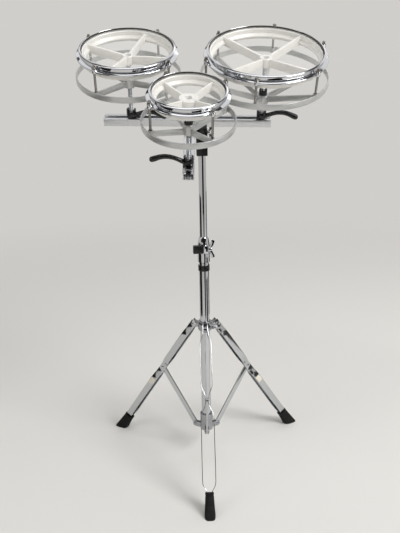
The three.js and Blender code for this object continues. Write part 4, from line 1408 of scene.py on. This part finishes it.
@dataclass
class Mast:
    """The telescopic mast: forked post, tubes, height clamp and wing screws."""

    frame: Frame
    pivot_height: float = 874
    post_width: float = 27
    post_depth: float = 24
    post_length: float = 56
    socket_depth: float = 34
    fork_slot: float = 11.8
    upper_radius: float = 9.5
    upper_wall: float = 1.3
    upper_foot: float = 430
    lower_radius: float = 12.7
    lower_wall: float = 1.4
    lower_foot: float = 73.3
    clamp_foot: float = 548
    clamp_seat: float = 589
    clamp_top: float = 614
    clamp_radius: float = 15.3
    clamp_neck: float = 11.6
    lug_half: float = 10
    lug_sides: Point = (-1.4, 10)
    lug_depth: Point = (-27.5, -12.6)
    jaw_sides: Point = (-27.7, -1.7)
    jaw_depth: Point = (-27.5, -12.5)
    screw_radius: float = 3
    screw_height: float = 586
    screw_offset: float = 20
    band_foot: float = 525
    band_height: float = 15
    band_wall: float = 1.6

    @property
    def place(self) -> Matrix:
        """The upright place on the mast's axis."""
        return self.frame.upright("tilt")

    def post(self) -> None:
        """Make the black forked post and the wing screw of the tilt."""
        place = self.place @ at(z=self.pivot_height)
        radius, length = self.post_depth / 2, self.post_length
        outline = [(-radius, -length), (radius, -length), *arc((0, 0), radius, 0, 180, 28)]
        post = Work(place).prism(outline, self.post_width, 1.6, Axis.ALONG.value)
        half, past, floor = self.fork_slot / 2, 20, -14
        cutter = Work().block((-half, -past, floor), (half, past, past), 0)
        cutter.drill(self.upper_radius, -length - 5, self.socket_depth - length, segments=NUT_SIDES)
        cutter.drill(self.screw_radius, -past, past, Axis.X.value)
        post.cut(cutter).piece("forked_post", ENAMEL, "post", ["tilt_post"])
        screw = WingScrew(reach=self.post_width, boss=5.4, boss_length=8, span=29, thickness=3, tip=4,
                          flare=5)
        screw.build(place, "tilt_screw", "tilt_screw", "tilt_wing_screw", self.post_width / 2)

    def tubes(self) -> None:
        """Make both tubes and the dark band on the lower one."""
        radius, top = self.upper_radius, self.pivot_height - self.post_length + self.socket_depth - FIT
        upper = Work(self.place).tube(radius - self.upper_wall, radius, self.upper_foot, top)
        upper.piece("inner_tube", TUBE_CHROME, "mast", ["upper_tube"])
        radius, top = self.lower_radius, self.clamp_seat - FIT
        lower = Work(self.place).tube(radius - self.lower_wall, radius, self.lower_foot, top)
        lower.piece("outer_tube", TUBE_CHROME, "tripod_tube", ["lower_tube"])
        bore, foot, top = radius + FIT, self.band_foot, self.band_foot + self.band_height
        band = Work(self.place).tube(bore, bore + self.band_wall, foot, top, 0.6, BAND_SIDES)
        band.piece("tube_sleeve", GRIP, "tripod_tube", ["tube_band"])

    def clamp(self) -> None:
        """Make the height clamp with its domed neck, its black jaw and its wing screw."""
        place, screw_place = self.place, at(y=-self.screw_offset, z=self.screw_height)
        bore, neck_bore = self.lower_radius + FIT, self.upper_radius + FIT
        radius, neck, foot, seat, top = (
            self.clamp_radius, self.clamp_neck, self.clamp_foot, self.clamp_seat, self.clamp_top)
        dome = flowing([(radius, seat), (radius - 0.5, seat + 9), (neck + 1.4, top - 7), (neck, top - 1)],
                       4)
        clamp = Work(place).lathe([
            (bore, foot), (radius - 1, foot), (radius, foot + 1), *[(p.x, p.y) for p in dome],
            (neck - 0.8, top), (neck_bore, top), (neck_bore, seat), (bore, seat)])
        low, high = self.screw_height - self.lug_half, self.screw_height + self.lug_half
        lug = Work().block(*zip(self.lug_sides, self.lug_depth, (low, high)), 1.6)
        lug.cut(Work().drill(self.screw_radius, -8, 16, screw_place @ Axis.X.value)
                .rod(bore, low - 4, high + 4, 0, NUT_SIDES))
        clamp.join(lug).piece("height_clamp_body", CHROME, "tripod_tube", ["height_clamp"])
        jaw = Work(place).block(*zip(self.jaw_sides, self.jaw_depth, (low, high)), 1.8)
        jaw.cut(Work().drill(radius, low - 4, high + 4, segments=BAND_SIDES)
                .drill(self.screw_radius, -23.7, 4, screw_place @ Axis.X.value))
        jaw.piece("clamp_jaw_block", ENAMEL, "tripod_tube", ["clamp_jaw"])
        screw = WingScrew(reach=33.4, boss=6.2, boss_length=10, span=48, thickness=3.6, tip=5, flare=7)
        screw.build(place @ screw_place, "height_screw", "height_screw", "height_wing_screw",
                    self.lug_sides[1])

    def build(self) -> None:
        """Make the whole mast."""
        self.post()
        self.tubes()
        self.clamp()


# The tripod


@dataclass
class Tripod:
    """The folding tripod: collar, legs of two bowed strips, braces, hub and rubber feet."""

    frame: Frame
    tube_radius: float = 12.7
    pivot_radius: float = 33
    collar_radius: float = 18
    collar_half: float = 12
    boss_end: float = 27
    boss_radius: float = 7.5
    lug_thickness: float = 10
    lug_half: float = 8
    hub_radius: float = 17
    hub_top: float = 117
    hub_floor: float = 4
    ear_half: float = 7
    ear_thickness: float = 2.5
    brace_thickness: float = 5
    brace_half: float = 6.5
    strip_width: float = 17
    strip_thickness: float = 1.8
    strip_headroom: float = 9
    upper_bow: float = 13.2
    upper_bow_start: float = 34
    upper_bow_end: float = 148
    pinch_half: float = 11
    lower_bow: float = 15.2
    lower_bow_start: float = 38
    foot_ramp: float = 16
    bend: float = 13
    label_half: tuple[float, float, float] = (6.5, 0.12, 11)
    label_drop: float = 52
    foot_length: float = 54
    foot_grip: float = 24
    boot_half: Point = (13.2, 10.7)
    boot_corner: float = 0.62
    boot_sides: int = 40
    boot: tuple[Point, ...] = (
        (0.0, 0.93), (1.2, 1.0), (5.0, 1.0), (6.2, 0.95), (9.0, 0.95), (10.2, 1.0), (26.0, 1.07),
        (38.0, 1.15), (46.0, 1.2), (51.0, 1.23), (54.0, 1.21))
    grip_half: float = 4
    pin_radius: float = 3
    rivet_radius: float = 4.6
    rivet_height: float = 1.8
    names: tuple[str, ...] = ("front", "right", "left")

    def leg_place(self, name: str) -> tuple[Matrix, float]:
        """Find a leg's place, its strips running down local Z.

        Args:
            name: the leg's name.

        Returns:
            The place, and the leg's length from its pivot to the floor.
        """
        joint = f"leg_{name}_fold"
        reach = Vector(self.frame.mounts[f"sole_{name}"]["pos_m"]) - self.frame.origin(joint)
        across, up = self.frame.axis(joint), -reach.normalized()
        return self.frame.place(self.frame.origin(joint), across.cross(up), up), reach.length / MM

    def link_length(self, name: str) -> float:
        """Find how far either pivot is from the rivet in the middle of the leg.

        Args:
            name: the leg's name.

        Returns:
            The distance in millimetres.
        """
        pivot, hub = self.frame.origin(f"leg_{name}_fold"), self.frame.origin(f"brace_{name}_fold")
        slope = (Vector(self.frame.mounts[f"sole_{name}"]["pos_m"]) - pivot).normalized()
        return (pivot - hub).length / MM / (2 * -slope.z)

    def strip_path(self, length: float, link: float, side: Side) -> list[Vector]:
        """Return the bowed line of one strip, down local Z.

        Args:
            length: of the leg, to the floor.
            link: distance to the middle rivet.
            side: which of the two strips.

        Returns:
            The points of its middle line.
        """
        half = self.strip_thickness / 2
        lug = self.lug_thickness / 2 + FIT + half
        pinch = self.brace_thickness / 2 + FIT + half
        foot = length - self.foot_length
        upper, lower, grip = self.upper_bow + half, self.lower_bow + half, self.grip_half + half
        stations = [(-self.strip_headroom, lug), (self.strip_headroom + 2, lug),
                    (self.upper_bow_start, upper), (self.upper_bow_end, upper),
                    (link - self.pinch_half, pinch), (link + self.pinch_half, pinch),
                    (link + self.lower_bow_start, lower), (foot - self.foot_ramp, lower),
                    (foot + 1, grip), (foot + self.foot_grip, grip)]
        bent = rounded([(down, side.value * out) for down, out in stations], self.bend, 6, False)
        return [Vector((0, out, -down)) for down, out in bent]

    def leg(self, name: str) -> None:
        """Make one leg: its two strips with their rivets, its foot, and its blank label if it has one.

        Args:
            name: the leg's name.
        """
        place, length = self.leg_place(name)
        link = self.link_length(name)
        half_width, half = self.strip_width / 2, self.strip_thickness / 2
        section = rounded([(-half, -half_width), (half, -half_width), (half, half_width),
                           (-half, half_width)], 0.8)
        leg = Work(place)
        for side in Side:
            leg.sweep(self.strip_path(length, link, side), section, Vector((1, 0, 0)))
        lug = self.lug_thickness / 2 + FIT + self.strip_thickness
        pinch = self.brace_thickness / 2 + FIT + self.strip_thickness
        leg.rod(self.pin_radius - 0.1, -lug, lug, 0, PIN_SIDES, Axis.Y.value)
        for face, down in ((lug, 0.0), (pinch, link)):
            for side in Side:
                self.rivet(leg, side, face, -down)
        spacer, grip = 1 - length + self.foot_length - self.foot_grip, self.grip_half + half
        leg.block((1 - half_width, -grip, spacer), (half_width - 1, grip, spacer + 8), 0.3)
        leg.piece(f"leg_strips_{name}", STRIP_CHROME, f"leg_{name}", [f"leg_{name}"])
        self.foot(name, place, length)
        if name != "front":
            side = Side.NEAR if name == "right" else Side.FAR
            out = side.value * (self.lower_bow + self.strip_thickness + 0.1)
            label = Work(place).block([-v for v in self.label_half], self.label_half, 0.05,
                                      at(y=out, z=-link - self.label_drop))
            label.piece(f"blank_label_{name}", LABEL, f"leg_{name}")

    def rivet(self, work: Work, side: Side, face: float, height: float = 0) -> None:
        """Set a rivet's domed head on a face that looks along Y.

        Args:
            work: the piece that takes it.
            side: the way that the head faces.
            face: how far the face is from the middle plane.
            height: where the rivet sits on Z.
        """
        radius, rise, sunk = self.rivet_radius, self.rivet_height, 0.1
        dome = [(radius * math.cos(a), rise * math.sin(a)) for a in map(math.radians, range(0, 81, 20))]
        turn = Matrix.Rotation(-side.value * math.pi / 2, 4, "X")
        move = at(y=side.value * (face - sunk), z=height) @ turn
        work.lathe([(0, -0.6), (radius, -0.6), *dome, (0, rise)], RIVET_SIDES, move)

    def foot(self, name: str, place: Matrix, length: float) -> None:
        """Make a rubber foot: a boot with a rolled mouth that flares to a sole flat on the floor.

        Args:
            name: the leg's name.
            place: the leg's place.
            length: of the leg, to the floor.
        """
        top = length - self.foot_length
        down = place.to_3x3().normalized().inverted() @ Vector((0, 0, -1))
        rings = []
        for drop, swell in self.boot:
            slant = (drop / self.foot_length) ** 2 * -down.x / down.z
            ring = []
            for corner in polygon(self.boot_sides, 1):
                x, y = (half * swell * math.copysign(abs(c) ** self.boot_corner, c)
                        for half, c in zip(self.boot_half, corner))
                ring.append(Vector((x, y, -top - drop + slant * x)))
            rings.append(ring)
        gap = self.grip_half + self.strip_thickness + FIT
        wide = self.strip_width / 2 + FIT
        foot = Work(place).loft(rings)
        foot.cut(Work().block((-wide, -gap, -top - self.foot_grip - FIT), (wide, gap, 8 - top), 0))
        foot.piece(f"rubber_foot_{name}", RUBBER, f"leg_{name}", [f"foot_{name}"])

    def lug(self, half: float, thickness: float, edge: float, reach: float) -> Work:
        """Return a round-ended lug about the pivot, its root at a reach from the mast's axis."""
        root = reach - self.pivot_radius
        return Work().prism([(root, -half), *arc((0, 0), half, -90, 90, 18), (root, half)], thickness, edge,
                            Axis.UPRIGHT.value)

    def collar(self) -> None:
        """Make the sliding collar with its three lugs, its boss and its screw."""
        pivot = self.frame.origin("leg_front_fold")
        place = self.frame.upright("tilt") @ at(z=pivot.z / MM)
        radius, half = self.collar_radius, self.collar_half
        collar = Work(place).tube(self.tube_radius + FIT, radius, -half, half, 1.4)
        lug = self.lug(self.lug_half, self.lug_thickness, 0.9, radius - 1)
        lug.cut(Work().drill(self.pin_radius, -8, 8, Axis.Y.value))
        # The collar's body and lugs wear chrome darkened with painted shade
        collar.circle(lug, len(self.names), self.pivot_radius, self.leg_angle("front"), CHROME_WITH_PAINTED_SHADE)
        axis = self.frame.axis("collar_screw_turn")
        turn = at(spin=math.degrees(math.atan2(axis.y, axis.x)))
        boss = Work().tube(self.pin_radius + FIT, self.boss_radius, radius - 1, self.boss_end, 1.0,
                           BOSS_SIDES)
        collar.join(boss, turn @ Axis.X.value)
        collar.piece("leg_collar_body", CHROME_WITH_PAINTED_SHADE, "collar", ["leg_collar"])
        screw = WingScrew(reach=14.3, boss=6, boss_length=9, span=34, thickness=3.4, tip=5, flare=9)
        screw.build(place @ turn, "collar_screw", "collar_screw", "collar_wing_screw", self.boss_end)

    def leg_angle(self, name: str) -> float:
        """Return a leg's angle from +X about the mast, in degrees."""
        pivot, mast = self.frame.origin(f"leg_{name}_fold"), self.frame.origin("tilt")
        return math.degrees(math.atan2(pivot.y - mast.y, pivot.x - mast.x))

    def hub(self) -> None:
        """Make the brace hub: a cup on the tube's end with a forked ear and pin for each brace."""
        pivot = self.frame.origin("brace_front_fold").z / MM
        bore, radius, low = self.tube_radius + FIT, self.hub_radius, pivot - self.ear_half
        floor = low + self.hub_floor
        hub = Work(self.frame.upright("tilt")).lathe(rounded([
            (0, low), (radius - 1, low), (radius, low + 1.5), (radius, self.hub_top), (bore, self.hub_top),
            (bore, floor), (0, floor)], 1.0))
        gap = self.brace_thickness / 2 + FIT
        fork = Work()
        for side in Side:
            ear = self.lug(self.ear_half, self.ear_thickness, 0.5, radius - 1)
            fork.join(ear, at(y=side.value * (gap + self.ear_thickness / 2)))
            self.rivet(fork, side, gap + self.ear_thickness)
        fork.rod(self.pin_radius - 0.1, -gap - 1, gap + 1, 0, HOLE_SIDES, Axis.Y.value)
        lifted = Work().join(fork, at(z=pivot))
        # The hub's cup and forks wear chrome darkened with painted shade
        hub.circle(lifted, len(self.names), self.pivot_radius, self.leg_angle("front"), CHROME_WITH_PAINTED_SHADE)
        hub.piece("brace_hub_cup", CHROME_WITH_PAINTED_SHADE, "tripod_tube", ["brace_hub"])

    def brace(self, name: str) -> None:
        """Make one brace: a flat bar with round ends, drilled for the hub's pin.

        Args:
            name: the name of its leg.
        """
        link = self.link_length(name)
        origin = self.frame.origin(f"brace_{name}_fold")
        rivet = self.leg_place(name)[0] @ Vector((0, 0, -link))
        up, across = (rivet - origin).normalized(), -self.frame.axis(f"brace_{name}_fold")
        brace = Work(self.frame.place(origin, across.cross(up), up))
        outline = arc((0, 0), self.brace_half, 180, 360, 18) + arc((0, link), self.brace_half, 0, 180, 18)
        brace.prism(outline, self.brace_thickness, 1.0, Axis.UPRIGHT.value)
        brace.cut(Work().drill(self.pin_radius, -6, 6, Axis.Y.value, PIN_SIDES))
        brace.piece(f"brace_bar_{name}", STRIP_CHROME, f"brace_{name}", [f"brace_{name}"])

    def build(self) -> None:
        """Make the whole tripod."""
        self.collar()
        self.hub()
        for name in self.names:
            self.leg(name)
            self.brace(name)


# The studio


class Cloth(Enum):
    """What a card is covered with: the material's name and its colour."""

    VELVET = ("Black velvet card", "202022")
    FELT = ("Grey felt card", "5c5c5e")


@dataclass
class Studio:
    """Pale floor and room, soft lamps, cards that only gloss shows, and the photograph's camera."""

    frame: Frame
    image_width: float = 400
    focal_pixels: float = 675.47
    camera_from_mast: tuple[float, float, float] = (-101.03, -1654.57, 1037.63)
    pitch: float = 16.87
    yaw: float = 3.15
    roll: float = 1.1
    sensor: float = 36
    far: float = 60
    pale: str = "d0ceca"
    dusk: str = "58585a"
    ceiling: str = "39393b"
    wall_top: float = 0.36
    dusk_height: float = 0.56
    aim_height: float = 0.75
    floor_radius: float = 14
    floor_sides: int = 96
    floor_tone: str = "dcdad6"
    floor_roughness: float = 0.6
    fade: Point = (1.1, 3.2)

    def camera(self) -> None:
        """Set the camera that was fitted to the photograph."""
        pitch, yaw, roll = (math.radians(a) for a in (self.pitch, self.yaw, self.roll))
        ahead = Vector((math.sin(yaw) * math.cos(pitch), math.cos(yaw) * math.cos(pitch), -math.sin(pitch)))
        right = Vector((math.cos(yaw), -math.sin(yaw), 0))
        up = right.cross(ahead)
        side = math.cos(roll) * right - math.sin(roll) * up
        top = math.sin(roll) * right + math.cos(roll) * up
        data = bpy.data.cameras.new("camera")
        data.sensor_fit = "HORIZONTAL"
        data.sensor_width = self.sensor
        data.lens = self.focal_pixels / self.image_width * self.sensor
        data.clip_end = self.far
        mast = self.frame.origin("tilt")
        base = Vector((mast.x, mast.y, 0))
        turn = Matrix((side, top, -ahead)).transposed().to_4x4()
        camera = linked("camera", data)
        camera.matrix_world = Matrix.Translation(base + Vector(self.camera_from_mast) * MM) @ turn
        bpy.context.scene.camera = camera

    def lamp(self, name: str, place: Sequence[float], size: Sequence[float], power: float) -> None:
        """Hang an area lamp that faces the drums' stand.

        Args:
            name: the lamp's name.
            place: where it hangs, in metres.
            size: its width and height, in metres.
            power: in watts.
        """
        data = bpy.data.lights.new(name, "AREA")
        data.shape = "RECTANGLE"
        data.size, data.size_y = size
        data.energy = power
        lamp = linked(name, data)
        aim = Vector((0, 0, self.aim_height)) - Vector(place)
        lamp.rotation_euler = aim.to_track_quat("-Z", "Y").to_euler()
        lamp.location = place

    def world(self) -> None:
        """Give the room pale walls up to well above the camera's view, and a dark ceiling."""
        world = bpy.data.worlds.new("studio")
        bpy.context.scene.world = world
        tree = emptied(world)
        way = add(tree, "ShaderNodeTexCoord").outputs["Generated"]
        height = add(tree, "ShaderNodeSeparateXYZ", {0: way}).outputs["Z"]
        ramp = add(tree, "ShaderNodeValToRGB", {"Fac": height})
        stops = ramp.color_ramp.elements
        stops[0].color, stops[1].color = linear(self.pale), linear(self.ceiling)
        for position, tone in ((self.wall_top, self.pale), (self.dusk_height, self.dusk)):
            stops.new(position).color = linear(tone)
        sky = add(tree, "ShaderNodeBackground", {"Color": ramp.outputs[0], "Strength": 1.0})
        add(tree, "ShaderNodeOutputWorld", {"Surface": sky.outputs[0]})

    def card(self, name: str, angle: float, span: float, distance: float, heights: Point,
             cloth: Cloth = Cloth.VELVET) -> None:
        """Stand a curved card by the set that only gloss shows, as a photographer of chrome does.

        Args:
            name: the card's name.
            angle: where it stands about the mast, from the camera's side, in degrees.
            span: how much of the circle it covers, in degrees.
            distance: from the mast, in metres.
            heights: of its foot and its top, in metres.
            cloth: what it is covered with.
        """
        part = bmesh.new()
        start = angle - 90 - span / 2
        edge = arc((0, 0), distance, start, start + span, 8)
        low, high = ([part.verts.new((x, y, z)) for x, y in edge] for z in heights)
        for k in range(len(edge) - 1):
            part.faces.new((low[k], low[k + 1], high[k + 1], high[k]))
        label, tone = cloth.value
        material = bpy.data.materials.new(label)
        tree = emptied(material)
        dull = add(tree, "ShaderNodeBsdfDiffuse", {"Color": linear(tone)})
        add(tree, "ShaderNodeOutputMaterial", {"Surface": dull.outputs[0]})
        mesh = meshed(part, name)
        mesh.materials.append(material)
        card = linked(name, mesh)
        for ray in ("camera", "diffuse", "transmission", "volume_scatter", "shadow"):
            setattr(card, f"visible_{ray}", False)

    def floor(self) -> None:
        """Lay a pale floor that runs out into the room's tone."""
        material = bpy.data.materials.new("Pale studio floor")
        tree = emptied(material)
        paint = add(tree, "ShaderNodeBsdfPrincipled",
                    {"Base Color": linear(self.floor_tone), "Roughness": self.floor_roughness})
        place = add(tree, "ShaderNodeTexCoord").outputs["Object"]
        away = add(tree, "ShaderNodeVectorMath", {0: place}, operation="LENGTH").outputs["Value"]
        near, far = self.fade
        faded = add(tree, "ShaderNodeMapRange", {"Value": away, "From Min": near, "From Max": far},
                    interpolation_type="SMOOTHSTEP").outputs[0]
        path = add(tree, "ShaderNodeLightPath").outputs
        seen = reckon(tree, "MAXIMUM", path["Is Camera Ray"], path["Is Glossy Ray"])
        seen = reckon(tree, "MAXIMUM", seen, path["Is Transmission Ray"])
        share = reckon(tree, "MULTIPLY", faded, seen)
        glow = add(tree, "ShaderNodeEmission", {"Color": linear(self.pale), "Strength": 1.0})
        mixed = add(tree, "ShaderNodeMixShader", {0: share, 1: paint.outputs[0], 2: glow.outputs[0]})
        add(tree, "ShaderNodeOutputMaterial", {"Surface": mixed.outputs[0]})
        part = bmesh.new()
        part.faces.new([part.verts.new((x, y, 0)) for x, y in polygon(self.floor_sides, self.floor_radius)])
        mesh = meshed(part, "floor")
        mesh.materials.append(material)
        linked("floor", mesh)

    def build(self) -> None:
        """Set up the whole studio."""
        self.camera()
        self.world()
        self.floor()
        for lamp in (("key", (3.8, -3.4, 4.2), (2.8, 2.8), 330),
                     ("fill", (-4.6, -2.6, 3.2), (2.2, 3.0), 45),
                     ("top", (0.2, -1.5, 6.0), (7.0, 2.4), 84),
                     ("back", (0.0, 2.4, 4.9), (5.6, 3.6), 58),
                     ("side", (2.7, 2.3, 3.5), (3.0, 2.0), 16)):
            self.lamp(*lamp)
        for card in (("card_left", -86, 66, 1.05, (0.05, 0.58)),
                     ("card_camera", 0, 120, 2.4, (0.9, 1.9)),
                     ("card_low", 12, 50, 1.9, (0.3, 0.9)),
                     ("card_near", 20, 32, 1.0, (0.05, 0.75)),
                     ("card_right", 142, 56, 1.05, (0.05, 0.58)),
                     ("card_leg", 70, 44, 0.8, (0.01, 0.34), Cloth.FELT)):
            self.card(*card)
        bpy.context.scene.view_settings.view_transform = "Standard"


def drums(frame: Frame) -> list[Drum]:
    """Size the three drums.

    Args:
        frame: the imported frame.

    Returns:
        The drums, in the order they are built.
    """
    left = Drum("left", frame.rails("drum_left_spin"), heading=-14, head_radius=101.6, hoop_top=174,
                ring_top=113, ring_radius=119.6, bolt_radius=112.6, hub_centre=89, arm_centre=89,
                hub_radius=13.4, hub_height=22, bush_height=5, upper_hub_radius=12.5, spoke_thickness=6,
                first_bolt=34, bolts=4, first_spoke=19.5)
    right = Drum("right", frame.rails("drum_right_spin"), heading=-12, head_radius=127, hoop_top=171.5,
                 ring_top=114, ring_radius=146.4, bolt_radius=140, hub_centre=52, arm_centre=52,
                 hub_radius=15, hub_height=20, bush_height=13, upper_hub_radius=14, spoke_thickness=6.4,
                 first_bolt=12.1, bolts=6, first_spoke=43)
    front = Drum("front", frame.rails("drum_front_spin"), heading=180, on_arm=True, head_radius=76.2,
                 hoop_top=181.8, ring_top=115.3, ring_radius=101.4, bolt_radius=91.2, hub_centre=90.3,
                 arm_centre=85.4, hub_radius=12.6, hub_height=25, bush_height=8, upper_hub_radius=20.5,
                 spoke_thickness=3.8, first_bolt=57.5, bolts=4, first_spoke=43.5)
    return [left, right, front]


def main() -> None:
    """Build the whole set in order."""
    logging.basicConfig(level=logging.INFO, format="%(name)s %(message)s")
    frame = Frame(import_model())
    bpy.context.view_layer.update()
    bpy.context.view_layer.update()
    for drum in drums(frame):
        drum.build()
    Rack(frame).build()
    Mast(frame).build()
    Tripod(frame).build()
    Studio(frame).build()


if __name__ == "__main__":
    main()
